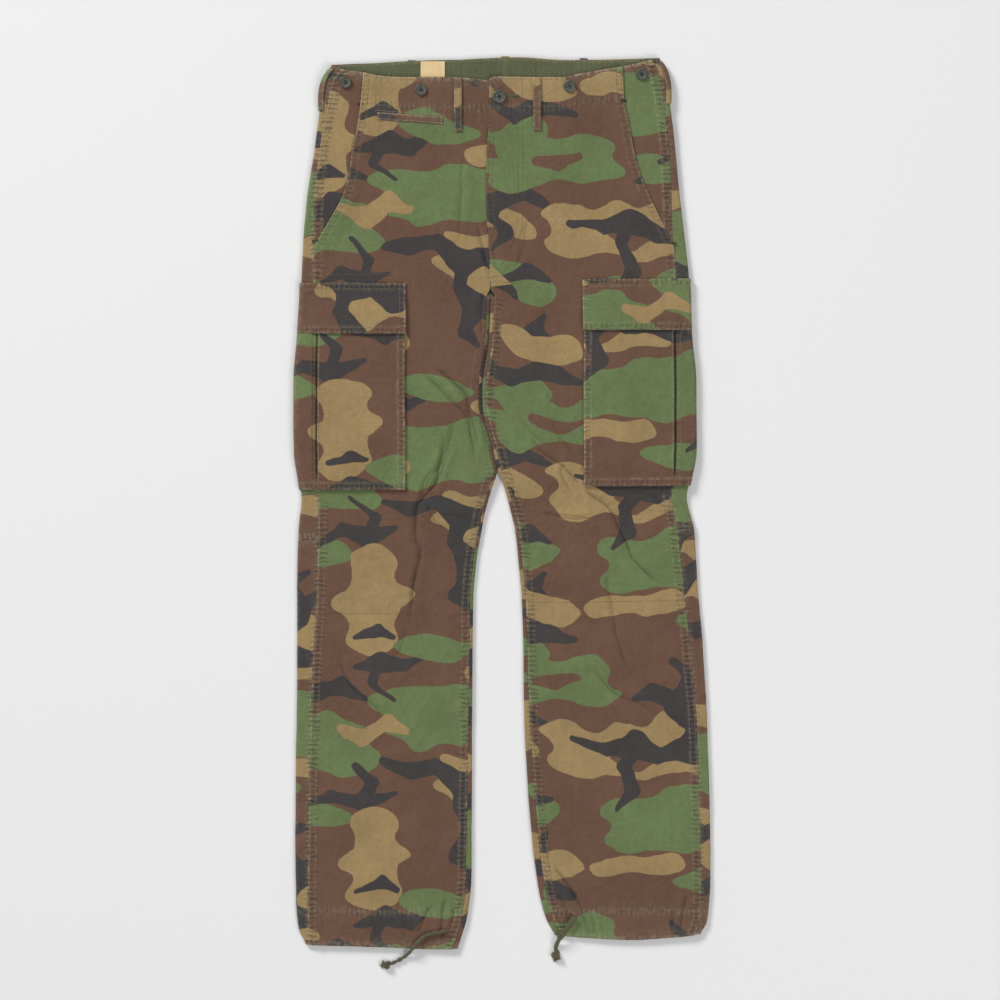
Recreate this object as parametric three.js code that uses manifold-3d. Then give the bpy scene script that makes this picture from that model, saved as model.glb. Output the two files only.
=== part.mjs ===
// Cargo trousers laid flat on a table, front up, as they are cut and sewn: two fronts, two side panels behind the slash
// pockets, four back panels, the waist facing, cargo pockets with flaps, belt loops, buttons and the hem drawcords.
// Millimetres. +X is the wearer's left, +Y runs up to the waist, +Z is up, and the table is z = 0.
import * as THREE from "three";
import Module from "manifold-3d";
import { mergeVertices } from "three/addons/utils/BufferGeometryUtils.js";

const manifold = await Module();
manifold.setup();

// Cloth and clearances
const CLOTH = 1.8; // wall of a panel, with its seam allowance
const THIN = 1.2; // wall of a facing or welt
const SEAM_GAP = 0.3; // between pieces that are sewn together
const HALF_GAP = SEAM_GAP / 2;
const STEP_UP = CLOTH + SEAM_GAP; // how far a piece stands above the one that it overlaps

// Heights along the leg
const TOP_Y = 554; // nominal top row; the real top edge follows the waist tables
const WAIST_Y = 450; // above this the rows bend to the waist's edge
const HEM_BEND_Y = -480; // below this the rows bend to the hem's edge
const HEM_Y = -554; // nominal bottom row
const CROTCH_Y = 269;
const FORK_DROP = 16; // the back panels turn up round the inner thigh over this drop
const FORK_EASE = 1.4; // the front gives way this much there
const SLASH_END_Y = 320; // lower end of the slash pockets
const CASING_Y = -508; // stitch line of the drawcord casing

// How far apart the rows of a panel are, up to each height
const ROW_STEPS = [
  { below: HEM_BEND_Y, step: 30 },
  { below: -150, step: 42 },
  { below: 16, step: 27 },
  { below: 214, step: 30 },
  { below: TOP_Y, step: 36 },
];

// Thickness of the stack, from the table to the top of the front panel
const STACK = [
  { y: -554, height: 5.2 },
  { y: -100, height: 5.4 },
  { y: -10, height: 5.6 },
  { y: 30, height: 7.5 },
  { y: 270, height: 7.5 },
  { y: 320, height: 6.8 },
  { y: 420, height: 7.0 },
  { y: 490, height: 8.6 },
  { y: 554, height: 8.6 },
];
const EDGE_DIP = 0.8; // the cloth is thinner towards its folded edges
const EDGE_DIP_WIDTH = 25;
const WAIST_LIFT = 1.8; // the back stands on its belt loops at the waist
const WAIST_LIFT_FROM = 432;
const WAIST_LIFT_FULL = 462;

// The outline of each half, in millimetres from the middle, and the insets of its seams from the folded edges.
// side is -1 for the wearer's right half and 1 for the left. x is measured outwards, so inner is negative across the middle.
const RIGHT = {
  side: -1,
  name: "right",
  outer: [
    { y: 543, x: 211.5 },
    { y: 523, x: 221 },
    { y: 486, x: 226.5 },
    { y: 436, x: 233.5 },
    { y: 374, x: 242.5 },
    { y: 312, x: 247.5 },
    { y: 269, x: 249.5 },
    { y: 213, x: 252 },
    { y: 151, x: 256.4 },
    { y: 64, x: 256 },
    { y: 27, x: 251.5 },
    { y: 5, x: 248.7 },
    { y: -35, x: 252.3 },
    { y: -72, x: 253.5 },
    { y: -270, x: 254.8 },
    { y: -370, x: 256.4 },
    { y: -456, x: 256 },
    { y: -500, x: 255 },
    { y: -531, x: 252 },
    { y: -549, x: 244 },
  ],
  inner: [
    { y: 38, x: 5.9 },
    { y: 17, x: 13 },
    { y: -10, x: 20.5 },
    { y: -35, x: 25.4 },
    { y: -72, x: 31.6 },
    { y: -121, x: 35.3 },
    { y: -171, x: 36.6 },
    { y: -456, x: 37.8 },
    { y: -490, x: 40 },
    { y: -516, x: 44 },
    { y: -531, x: 48.5 },
    { y: -549, x: 54 },
  ],
  outseam: [
    { y: 543, inset: 11 },
    { y: 490, inset: 9 },
    { y: 437, inset: 6.5 },
    { y: 397, inset: 8 },
    { y: 358, inset: 10.5 },
    { y: 301, inset: 14 },
    { y: 2, inset: 21 },
    { y: -55, inset: 25 },
    { y: -121, inset: 24 },
    { y: -181, inset: 20 },
    { y: -291, inset: 17 },
    { y: -414, inset: 16 },
    { y: -507, inset: 13.6 },
    { y: -549, inset: 8 },
  ],
  inseam: [
    { y: 256, inset: 4 },
    { y: -171, inset: 4 },
    { y: -370, inset: 6 },
    { y: -456, inset: 7 },
    { y: -549, inset: 6 },
  ],
  slash: [
    { y: 543, x: 172 },
    { y: 486, x: 177 },
    { y: 457, x: 182 },
    { y: 434, x: 186.5 },
    { y: 404, x: 191 },
    { y: 377, x: 199.5 },
    { y: 362, x: 208 },
    { y: 339, x: 221 },
    { y: 318, x: 233 },
  ],
  frontTop: [
    { x: -4, y: 521.5 },
    { x: 15, y: 522.5 },
    { x: 35, y: 525 },
    { x: 59, y: 526.5 },
    { x: 120, y: 527 },
    { x: 156, y: 529.5 },
    { x: 172, y: 533 },
    { x: 200, y: 537 },
    { x: 211.5, y: 543 },
  ],
  backTop: [
    { x: 3, y: 552 },
    { x: 64, y: 549 },
    { x: 112, y: 548 },
    { x: 170, y: 545 },
    { x: 211.5, y: 543 },
  ],
  hem: [
    { x: 54, y: -553.5 },
    { x: 80, y: -554 },
    { x: 150, y: -551.5 },
    { x: 244, y: -548.5 },
  ],
  hemMid: -551,
  kneeSeamY: -46,
  pocket: { front: 121, bottom: 16, flapBottom: 210, flapTop: 272, pleat: 232 },
};
const LEFT = {
  side: 1,
  name: "left",
  outer: [
    { y: 551.5, x: 195.3 },
    { y: 536, x: 202.5 },
    { y: 523, x: 205 },
    { y: 486, x: 209 },
    { y: 436, x: 215 },
    { y: 374, x: 221.5 },
    { y: 312, x: 228.8 },
    { y: 269, x: 231.9 },
    { y: 213, x: 233.5 },
    { y: 151, x: 238.5 },
    { y: 64, x: 239 },
    { y: 27, x: 234 },
    { y: 6, x: 229.5 },
    { y: -10, x: 232.5 },
    { y: -35, x: 238.7 },
    { y: -72, x: 241 },
    { y: -121, x: 244 },
    { y: -171, x: 248.4 },
    { y: -221, x: 251.4 },
    { y: -270, x: 254.5 },
    { y: -320, x: 256.2 },
    { y: -419, x: 258.5 },
    { y: -456, x: 258.5 },
    { y: -500, x: 256.7 },
    { y: -524, x: 253.5 },
    { y: -537, x: 247 },
  ],
  inner: [
    { y: 38, x: -5.3 },
    { y: 17, x: 3 },
    { y: -10, x: 10.5 },
    { y: -35, x: 16.7 },
    { y: -72, x: 20.5 },
    { y: -121, x: 24.6 },
    { y: -171, x: 26 },
    { y: -270, x: 28 },
    { y: -320, x: 30.4 },
    { y: -370, x: 33.6 },
    { y: -419, x: 37.4 },
    { y: -456, x: 41.5 },
    { y: -490, x: 47 },
    { y: -516, x: 54 },
    { y: -539, x: 66 },
  ],
  outseam: [
    { y: 551, inset: 9 },
    { y: 485, inset: 7.5 },
    { y: 437, inset: 8 },
    { y: 396, inset: 9.5 },
    { y: 324, inset: 15 },
    { y: 13, inset: 19.5 },
    { y: -41, inset: 20.5 },
    { y: -108, inset: 17.4 },
    { y: -197, inset: 15.5 },
    { y: -291, inset: 12.8 },
    { y: -455, inset: 12 },
    { y: -517, inset: 9 },
    { y: -539, inset: 8 },
  ],
  inseam: [
    { y: 256, inset: 4.5 },
    { y: -171, inset: 5 },
    { y: -320, inset: 8 },
    { y: -456, inset: 8.5 },
    { y: -539, inset: 9 },
  ],
  slash: [
    { y: 551, x: 150 },
    { y: 500, x: 151.5 },
    { y: 485, x: 154.5 },
    { y: 453, x: 160 },
    { y: 428, x: 165 },
    { y: 404, x: 173 },
    { y: 381, x: 182.5 },
    { y: 341, x: 202 },
    { y: 318, x: 213.5 },
  ],
  frontTop: [
    { x: -16, y: 524.5 },
    { x: -8, y: 527.5 },
    { x: 72, y: 527 },
    { x: 97, y: 532 },
    { x: 118, y: 535.5 },
    { x: 146, y: 540 },
    { x: 184, y: 548 },
    { x: 195.3, y: 551.5 },
  ],
  backTop: [
    { x: -3, y: 552 },
    { x: 20, y: 552.5 },
    { x: 72, y: 549.5 },
    { x: 159, y: 550.5 },
    { x: 195.3, y: 551.5 },
  ],
  hem: [
    { x: 66, y: -536.5 },
    { x: 101, y: -539.5 },
    { x: 159, y: -542 },
    { x: 221, y: -538.5 },
    { x: 247, y: -535 },
  ],
  hemMid: -539,
  kneeSeamY: -32,
  pocket: { front: 101.7, bottom: 21, flapBottom: 214, flapTop: 277, pleat: 216.5 },
};

// Where the two halves meet, as a real x: the centre-back seam, the fork, and the line where the thighs touch.
// Both halves have a row at each of these heights, so the line runs straight from one to the next.
const CENTRE = [
  { y: 554, x: -4 },
  { y: 450, x: -6 },
  { y: 320, x: -13 },
  { y: 288, x: -14 },
  { y: 253, x: -14 },
  { y: 193, x: -18 },
  { y: 166, x: -22.5 },
  { y: 144, x: -25 },
  { y: 118, x: -24.6 },
  { y: 94, x: -20.6 },
  { y: 66, x: -12 },
  { y: 38, x: -5.6 },
  { y: 16, x: -4 },
];
// The fly's edge, as a real x
const FLY = [
  { y: 554, x: -15 },
  { y: 480, x: -16.5 },
  { y: 430, x: -19 },
  { y: 375, x: -19.5 },
  { y: 320, x: -16 },
  { y: 285, x: -14 },
  { y: 262, x: -14 },
];
const FLY_LAP = 9;
const FLY_RAMP = 38;
const SLASH_LAP = 8;
const SLASH_RAMP = 32;

// The largest folds: soft ridges from one end to the other, with their half width and height
const FOLDS = [
  { name: "right thigh", x1: -94, y1: 158, x2: -54, y2: 112, half: 13, height: 2.6 },
  { name: "right thigh, lower", x1: -54, y1: 112, x2: -34, y2: 36, half: 13, height: 2.8 },
  { name: "right knee, upper", x1: -73, y1: 86, x2: -100, y2: 4, half: 12, height: 2.4 },
  { name: "right knee", x1: -106, y1: -6, x2: -107, y2: -98, half: 13, height: 2.8 },
  { name: "right knee, lower", x1: -108, y1: -98, x2: -117, y2: -150, half: 12, height: 2.0 },
  { name: "right shin", x1: -200, y1: -195, x2: -143, y2: -268, half: 14, height: 2.4 },
  { name: "right seat", x1: -50, y1: 418, x2: -53, y2: 318, half: 13, height: 1.8 },
  { name: "fork, right", x1: -40, y1: 330, x2: -24, y2: 276, half: 12, height: 2.0 },
  { name: "left thigh", x1: 34, y1: 86, x2: 100, y2: 22, half: 13, height: 2.8 },
  { name: "left knee, upper", x1: 92, y1: 22, x2: 140, y2: -12, half: 13, height: 2.4 },
  { name: "left knee", x1: 134, y1: -26, x2: 218, y2: -106, half: 13, height: 2.8 },
  { name: "left knee, lower", x1: 130, y1: -88, x2: 156, y2: -215, half: 13, height: 2.0 },
  { name: "left shin", x1: 112, y1: -206, x2: 190, y2: -262, half: 14, height: 2.4 },
  { name: "left thigh, side", x1: 156, y1: 14, x2: 210, y2: -12, half: 12, height: 1.8 },
  { name: "left hem gather, inner", x1: 72, y1: -455, x2: 96, y2: -520, half: 11, height: 2.6 },
  { name: "left hem gather, corner", x1: 70, y1: -500, x2: 84, y2: -545, half: 9, height: 2.6 },
  { name: "left hem gather, middle", x1: 118, y1: -505, x2: 122, y2: -545, half: 9, height: 1.6 },
  { name: "left hem gather, outer", x1: 232, y1: -492, x2: 214, y2: -545, half: 10, height: 2.2 },
  { name: "right hem gather, inner", x1: -84, y1: -498, x2: -104, y2: -530, half: 10, height: 2.0 },
  { name: "right hem gather, corner", x1: -62, y1: -490, x2: -66, y2: -545, half: 9, height: 2.4 },
];

// Trim
const LOOP_WIDTH = 9.5;
const LOOP_WALL = 1.5;
const FRONT_LOOPS = [
  { name: "belt_loop_front_right", x: -54.6, bottom: 460, top: 526.5 },
  { name: "belt_loop_front_left", x: 43.4, bottom: 461, top: 527.5 },
];
const BACK_LOOPS = [
  { name: "belt_loop_back_right", x: -112, bottom: 478, top: 549.2 },
  { name: "belt_loop_centre_back", x: 4, bottom: 484, top: 554 },
  { name: "belt_loop_back_left", x: 101, bottom: 480, top: 551.5 },
];
const BUTTONS = [
  { name: "waist_button", x: -3.7, y: 503.2, diameter: 17 },
  { name: "brace_button_side_right", x: -194.3, y: 521, diameter: 15 },
  { name: "brace_button_front_right", x: -100.6, y: 512, diameter: 15 },
  { name: "brace_button_front_left", x: 83.7, y: 516, diameter: 15 },
  { name: "brace_button_side_left", x: 173.2, y: 531, diameter: 15 },
];
const WELT = { x: -114, y: 476.5, length: 81, width: 9, slope: -0.074 };
const FACING = { depth: 40, ends: 8, below: 1.2 };
const LABEL = { left: -101, right: -71, bottom: 518, wall: 0.8 };

// Cloth colours
const PRINT = new THREE.Color(0.42, 0.36, 0.25);
const OLIVE = new THREE.Color(0.36, 0.37, 0.27);
const CORD = new THREE.Color(0.33, 0.31, 0.2);
const BUTTON = new THREE.Color(0.27, 0.29, 0.26);
const LABEL_CLOTH = new THREE.Color(0.86, 0.74, 0.52);

const clamp = (t) => Math.min(1, Math.max(0, t));
const smooth = (from, to, value) => {
  const t = clamp((value - from) / (to - from));
  return t * t * (3 - 2 * t);
};
const mix = (a, b, t) => a + (b - a) * t;

// A smooth curve through a table's rows: key is the column that it is looked up by, value the column that it gives.
function curve(rows, key, value) {
  const sorted = [...rows].sort((a, b) => a[key] - b[key]);
  const k = sorted.map((row) => row[key]);
  const v = sorted.map((row) => row[value]);
  const slope = k.map((_, i) => {
    if (i === 0 || i === k.length - 1) return 0;
    const before = (v[i] - v[i - 1]) / (k[i] - k[i - 1]);
    const after = (v[i + 1] - v[i]) / (k[i + 1] - k[i]);
    return before * after <= 0 ? 0 : (2 * before * after) / (before + after);
  });
  slope[0] = (v[1] - v[0]) / (k[1] - k[0]);
  slope[k.length - 1] = (v.at(-1) - v.at(-2)) / (k.at(-1) - k.at(-2));
  return (at) => {
    if (at <= k[0]) return v[0];
    if (at >= k.at(-1)) return v.at(-1);
    let i = 0;
    while (at > k[i + 1]) i += 1;
    const h = k[i + 1] - k[i];
    const t = (at - k[i]) / h;
    const t2 = t * t;
    const t3 = t2 * t;
    return (
      (2 * t3 - 3 * t2 + 1) * v[i] + (t3 - 2 * t2 + t) * h * slope[i] +
      (3 * t2 - 2 * t3) * v[i + 1] + (t3 - t2) * h * slope[i + 1]
    );
  };
}

// The same without the smoothing
function polyline(rows, key, value) {
  const sorted = [...rows].sort((a, b) => a[key] - b[key]);
  return (at) => {
    const next = sorted.findIndex((row) => row[key] >= at);
    if (next === 0) return sorted[0][value];
    if (next < 0) return sorted.at(-1)[value];
    const [a, b] = [sorted[next - 1], sorted[next]];
    return mix(a[value], b[value], (at - a[key]) / (b[key] - a[key]));
  };
}

const centreAt = polyline(CENTRE, "y", "x");
const flyAt = curve(FLY, "y", "x");
const stackAt = curve(STACK, "y", "height");

for (const half of [RIGHT, LEFT]) {
  half.outerAt = curve(half.outer, "y", "x");
  half.innerLeg = curve(half.inner, "y", "x");
  half.outseamAt = curve(half.outseam, "y", "inset");
  half.inseamAt = curve(half.inseam, "y", "inset");
  half.slashAt = curve(half.slash, "y", "x");
  half.frontTopAt = curve(half.frontTop, "x", "y");
  half.backTopAt = curve(half.backTop, "x", "y");
  half.hemAt = curve(half.hem, "x", "y");
}

// The inner edge, measured outwards: the leg's own below the place where the thighs part, and the middle line above it.
function innerAt(half, y) {
  const parting = half.inner[0].y;
  if (y < parting) return half.innerLeg(y);
  return half.side * centreAt(y) + SEAM_GAP;
}

// 0 above the fork, where the back panels lie flat to the middle, and 1 below it, where they turn up round the thigh
const wrapAt = (y) => smooth(CROTCH_Y, CROTCH_Y - FORK_DROP, y);

// 1 where the cargo pocket wraps round and under the leg
function pocketZone(half, x, y) {
  const { bottom, flapTop } = half.pocket;
  const along = smooth(bottom - 24, bottom - 3, y) * smooth(flapTop + 24, flapTop + 3, y);
  return along * smooth(half.outerAt(y) - 120, half.outerAt(y) - 70, x);
}

// The underside of the back panel
function undersideAt(half, x, y) {
  return WAIST_LIFT * smooth(WAIST_LIFT_FROM, WAIST_LIFT_FULL, y) + STEP_UP * pocketZone(half, x, y);
}

// The top of the front panel before folds and overlaps
function crownAt(half, x, y) {
  const toOuter = Math.exp(-Math.max(0, half.outerAt(y) - x) / EDGE_DIP_WIDTH);
  const toInner = Math.exp(-Math.max(0, x - innerAt(half, y)) / EDGE_DIP_WIDTH) * wrapAt(y);
  return stackAt(y) - EDGE_DIP * (toOuter + toInner);
}

// How much a fold may rise here: nothing under what is sewn on top
function freeToFold(half, x, y) {
  const { front, bottom, flapTop } = half.pocket;
  const underPocket = smooth(bottom - 14, bottom - 4, y) * smooth(flapTop + 14, flapTop + 4, y) * smooth(front - 14, front - 4, x);
  const underWaist = smooth(426, 446, y);
  const nearEdge = mix(1, smooth(2, 14, x - innerAt(half, y)), wrapAt(y));
  const nearFly = mix(smooth(8, 24, Math.abs(half.side * x - flyAt(y) - FLY_LAP / 2)), 1, wrapAt(y));
  return (1 - underPocket) * (1 - underWaist) * nearEdge * nearFly;
}

function foldsAt(x, y) {
  let rise = 0;
  for (const fold of FOLDS) {
    const dx = fold.x2 - fold.x1;
    const dy = fold.y2 - fold.y1;
    const length = Math.hypot(dx, dy);
    const t = ((x - fold.x1) * dx + (y - fold.y1) * dy) / (length * length);
    const away = ((x - fold.x1) * dy - (y - fold.y1) * dx) / length / fold.half;
    const beyond = Math.max(0, -t, t - 1) * length / fold.half;
    rise = Math.max(rise, fold.height * Math.exp(-away * away - beyond * beyond));
  }
  return rise;
}

// The radius of a folded edge, which takes the whole stack
const edgeRadius = (half, x, y) => (crownAt(half, x, y) - undersideAt(half, x, y)) / 2;
const EDGE_SAMPLE = 3;

// A point on the skin near the outer edge. way is measured round the section from the outermost point, positive on top;
// lift stands off outwards, or inwards when it is negative.
function outerSkin(half, way, y, lift) {
  const edge = half.outerAt(y);
  const sample = edge - EDGE_SAMPLE;
  const r = edgeRadius(half, sample, y);
  const quarter = (r * Math.PI) / 2;
  if (Math.abs(way) <= quarter) {
    const angle = way / r;
    const middle = undersideAt(half, sample, y) + r;
    return { x: edge - r + (r + lift) * Math.cos(angle), z: middle + (r + lift) * Math.sin(angle) };
  }
  const x = edge - r - (Math.abs(way) - quarter);
  return { x, z: way > 0 ? crownAt(half, x, y) + lift : undersideAt(half, x, y) - lift };
}

// The same near the inner edge: way runs up from the flat underside, round the edge and out onto the top.
function innerSkin(half, way, y, lift) {
  const wrap = wrapAt(y);
  const r = edgeRadius(half, innerAt(half, y) + EDGE_SAMPLE, y);
  const turned = Math.min(Math.PI / 2, wrap * Math.PI);
  const edge = innerAt(half, y) - (1 - Math.sin(turned)) * (r + HALF_GAP);
  if (way <= 0) {
    const x = edge + r - way;
    return { x, z: undersideAt(half, x, y) - lift };
  }
  if (way <= Math.PI * r) {
    const angle = way / r - Math.PI / 2;
    const middle = undersideAt(half, edge + EDGE_SAMPLE, y) + r;
    return { x: edge + r - (r + lift) * Math.cos(angle), z: middle + (r + lift) * Math.sin(angle) };
  }
  const x = edge + r + way - Math.PI * r;
  return { x, z: crownAt(half, x, y) + lift };
}

// A row is named by its nominal height; the real height bends to the waist's and the hem's edges.
function rowY(half, row, x, onTop) {
  if (row > WAIST_Y) {
    const edge = onTop ? half.frontTopAt(x) : half.backTopAt(x);
    return mix(WAIST_Y, edge, (row - WAIST_Y) / (TOP_Y - WAIST_Y));
  }
  if (row < HEM_BEND_Y) return mix(HEM_BEND_Y, half.hemAt(x), (row - HEM_BEND_Y) / (HEM_Y - HEM_BEND_Y));
  return row;
}

// The height at which a row's widths are read
function readY(half, row) {
  if (row > WAIST_Y) return mix(WAIST_Y, half.outer[0].y, (row - WAIST_Y) / (TOP_Y - WAIST_Y));
  if (row < HEM_BEND_Y) return mix(HEM_BEND_Y, half.hemMid, (row - HEM_BEND_Y) / (HEM_Y - HEM_BEND_Y));
  return row;
}

// The rows that every piece of one half shares, so that pieces which lie on each other stay parallel: even steps, and
// the heights where something starts or ends
function stationsOf(half) {
  const { bottom, flapBottom, flapTop } = half.pocket;
  const marks = [
    HEM_Y, CASING_Y - 2, CASING_Y + 2, HEM_BEND_Y, -150, half.kneeSeamY, bottom - 22, bottom - 3, bottom,
    flapBottom - 0.5, flapBottom, flapBottom + FLAP_LAP, Math.max(flapTop, CROTCH_Y), CROTCH_Y - FORK_DROP / 2,
    ...CENTRE.map((row) => row.y).filter((y) => y > bottom + 10),
  ].sort((a, b) => a - b);
  const stations = [marks[0]];
  for (const y of marks.slice(1)) {
    const start = stations.at(-1);
    const { step } = ROW_STEPS.find((part) => y <= part.below);
    const parts = Math.ceil((y - start) / step);
    for (let i = 1; i <= parts; i += 1) stations.push(mix(start, y, i / parts));
  }
  return stations;
}

function rowsOf(half, from, to) {
  const between = stationsOf(half).filter((y) => y > from + 1e-6 && y < to - 1e-6);
  return [from, ...between, to];
}

// A closed wall between two grids of points, outer[row][column] and inner[row][column]
function wall(outer, inner) {
  const rows = outer.length;
  const columns = outer[0].length;
  const points = [...outer.flat(), ...inner.flat()];
  const faces = [];
  const quad = (a, b, c, d) => faces.push(a, b, c, a, c, d);
  const at = (layer, row, column) => (layer * rows + row) * columns + column;
  for (let row = 0; row < rows - 1; row += 1) {
    for (let column = 0; column < columns - 1; column += 1) {
      quad(at(0, row, column), at(0, row, column + 1), at(0, row + 1, column + 1), at(0, row + 1, column));
      quad(at(1, row, column), at(1, row + 1, column), at(1, row + 1, column + 1), at(1, row, column + 1));
    }
    quad(at(0, row, 0), at(0, row + 1, 0), at(1, row + 1, 0), at(1, row, 0));
    const last = columns - 1;
    quad(at(0, row, last), at(1, row, last), at(1, row + 1, last), at(0, row + 1, last));
  }
  for (let column = 0; column < columns - 1; column += 1) {
    quad(at(0, 0, column), at(1, 0, column), at(1, 0, column + 1), at(0, 0, column + 1));
    const last = rows - 1;
    quad(at(0, last, column), at(0, last, column + 1), at(1, last, column + 1), at(1, last, column));
  }
  let volume = 0;
  for (let i = 0; i < faces.length; i += 3) {
    const [a, b, c] = [points[faces[i]], points[faces[i + 1]], points[faces[i + 2]]].map((p) => new THREE.Vector3(p.x, p.y, p.z));
    volume += a.dot(b.cross(c));
  }
  if (volume < 0) for (let i = 0; i < faces.length; i += 3) [faces[i], faces[i + 1]] = [faces[i + 1], faces[i]];
  const geometry = new THREE.BufferGeometry();
  geometry.setAttribute("position", new THREE.Float32BufferAttribute(points.flatMap((p) => [p.x, p.y, p.z]), 3));
  geometry.setIndex(faces);
  geometry.computeVertexNormals();
  return geometry;
}

const group = new THREE.Group();

function add(name, geometry, color, roughness = 0.95) {
  const mesh = new THREE.Mesh(geometry, new THREE.MeshStandardMaterial({ color, roughness, metalness: 0 }));
  mesh.name = name;
  group.add(mesh);
  return mesh;
}

// The outer boundary of a front panel: the outseam, and above the side panel the edge of the slash pocket
function frontOuterAt(half, y) {
  if (y > SLASH_END_Y) return half.slashAt(y);
  const seam = half.outerAt(y) - half.outseamAt(y);
  return seam - HALF_GAP;
}

// The inner boundary of a front panel: the fly's edge, the centre seam, and below the fork the inseam
function frontInnerAt(half, y) {
  const lap = half.side < 0 ? FLY_LAP * smooth(290, 310, y) : 0;
  const fly = half.side * flyAt(y) - lap;
  const butt = half.side * centreAt(y) + HALF_GAP;
  const above = mix(butt, fly, smooth(272, 292, y));
  const seam = innerAt(half, y) + half.inseamAt(y) + HALF_GAP;
  const turn = wrapAt(y);
  return mix(above, seam, smooth(0.35, 1, turn)) + FORK_EASE * Math.sin(Math.PI * turn);
}

// The front lies over the side panel at the slash pocket, and the left front over the right one at the fly.
function overlapAt(half, x, y) {
  const slashIn = frontOuterAt(half, y) - x;
  const slash = smooth(298, 316, y) * (1 - smooth(SLASH_LAP + 2, SLASH_RAMP, slashIn));
  const flyIn = x - frontInnerAt(half, y);
  const fly = half.side > 0 ? smooth(262, 284, y) * (1 - smooth(FLY_LAP + 2, FLY_RAMP, flyIn)) : 0;
  return STEP_UP * Math.max(slash, fly);
}

const FELL_HEIGHT = 0.7; // a flat-felled seam stands this far above the panel
const CASING_HEIGHT = 0.5;

// The felled seams and the hem casing, raised on the outer face of the front panel
function reliefAt(half, x, y) {
  const { bottom, flapTop } = half.pocket;
  const seamIn = half.outerAt(y) - half.outseamAt(y) - x;
  const clearOfPocket = 1 - smooth(bottom - 10, bottom - 4, y) * smooth(flapTop + 10, flapTop + 4, y);
  const outseam = y < SLASH_END_Y - 24 ? smooth(0.4, 1.6, seamIn) * smooth(11, 9.4, seamIn) * clearOfPocket : 0;
  const inseamIn = x - innerAt(half, y) - half.inseamAt(y);
  const inseam = wrapAt(y) * smooth(0.4, 1.6, inseamIn) * smooth(10, 8.4, inseamIn);
  const casing = CASING_HEIGHT * smooth(CASING_Y + 2, CASING_Y - 2, y);
  return FELL_HEIGHT * Math.max(outseam, inseam) + casing;
}

function frontSkin(half, x, y) {
  return crownAt(half, x, y) + overlapAt(half, x, y) + foldsAt(half.side * x, y) * freeToFold(half, x, y);
}

const FRONT_EDGE_COLUMNS = [0, 1.6, 9.4, 11];
const FRONT_MIDDLE_COLUMNS = 8;

function frontPanel(half) {
  const outer = [];
  const inner = [];
  for (const row of rowsOf(half, HEM_Y, TOP_Y)) {
    const read = readY(half, row);
    const from = frontOuterAt(half, read);
    const to = frontInnerAt(half, read);
    const seamSide = FRONT_EDGE_COLUMNS.map((inset) => from - inset);
    const innerSide = FRONT_EDGE_COLUMNS.map((inset) => to + inset).reverse();
    const middle = Array.from({ length: FRONT_MIDDLE_COLUMNS }, (_, i) =>
      mix(seamSide.at(-1), innerSide[0], (i + 1) / (FRONT_MIDDLE_COLUMNS + 1)));
    const top = [];
    const under = [];
    for (const x of [...seamSide, ...middle, ...innerSide]) {
      const y = rowY(half, row, x, true);
      const z = frontSkin(half, x, read);
      top.push({ x: half.side * x, y, z: z + reliefAt(half, x, read) });
      under.push({ x: half.side * x, y, z: z - CLOTH });
    }
    outer.push(top);
    inner.push(under);
  }
  add(`${half.name}_front`, wall(outer, inner), PRINT);
}

// The side panel shows in the slash pocket, and runs on under the front.
function sidePanel(half) {
  const outer = [];
  const inner = [];
  for (const row of rowsOf(half, SLASH_END_Y, TOP_Y)) {
    const read = readY(half, row);
    const from = half.outerAt(read) - half.outseamAt(read) - HALF_GAP;
    const to = half.slashAt(read) - SLASH_LAP;
    const top = [];
    const under = [];
    for (let i = 0; i <= 4; i += 1) {
      const x = mix(from, to, i / 4);
      const y = rowY(half, row, x, true);
      top.push({ x: half.side * x, y, z: crownAt(half, x, read) });
      under.push({ x: half.side * x, y, z: crownAt(half, x, read) - CLOTH });
    }
    outer.push(top);
    inner.push(under);
  }
  add(`${half.name}_side_panel`, wall(outer, inner), PRINT);
}

const EDGE_STEPS = 4;
const FLOOR_COLUMNS = 4;

// One row of a back panel: over the top from the outseam, round the outer edge, under the leg, and round the inner edge
function backRow(half, row, lift) {
  const read = readY(half, row);
  const points = [];
  const put = (p, onTop) => points.push({ x: half.side * p.x, y: rowY(half, row, p.x, onTop), z: p.z });
  const r = edgeRadius(half, half.outerAt(read) - EDGE_SAMPLE, read);
  const quarter = (r * Math.PI) / 2;
  const strip = half.outseamAt(read) - HALF_GAP - r;
  for (let i = 0; i <= 2; i += 1) put(outerSkin(half, quarter + 0.001 + strip * (1 - i / 2), read, lift), true);
  for (let i = 1; i <= EDGE_STEPS; i += 1) {
    const way = quarter * (1 - (2 * i) / EDGE_STEPS);
    put(outerSkin(half, way, read, lift), way > 0);
  }
  const wrap = wrapAt(read);
  const innerR = edgeRadius(half, innerAt(half, read) + EDGE_SAMPLE, read);
  const runIn = 12 * (1 - wrap);
  const startX = innerSkin(half, 0, read, 0).x + runIn;
  const fromX = half.outerAt(read) - r;
  for (let i = 1; i <= FLOOR_COLUMNS; i += 1) {
    const x = mix(fromX, startX, i / FLOOR_COLUMNS);
    put({ x, z: undersideAt(half, x, read) - lift }, false);
  }
  const inset = Math.max(0, half.inseamAt(read) - innerR - HALF_GAP);
  const total = Math.PI * innerR + inset;
  const stops = Array.from({ length: EDGE_STEPS }, (_, i) => (Math.PI * innerR * (i + 1)) / EDGE_STEPS);
  for (const stop of [...stops, total]) {
    const share = stop / total;
    put(innerSkin(half, -runIn * (1 - share) + share * wrap * total, read, lift), false);
  }
  return points;
}

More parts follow.
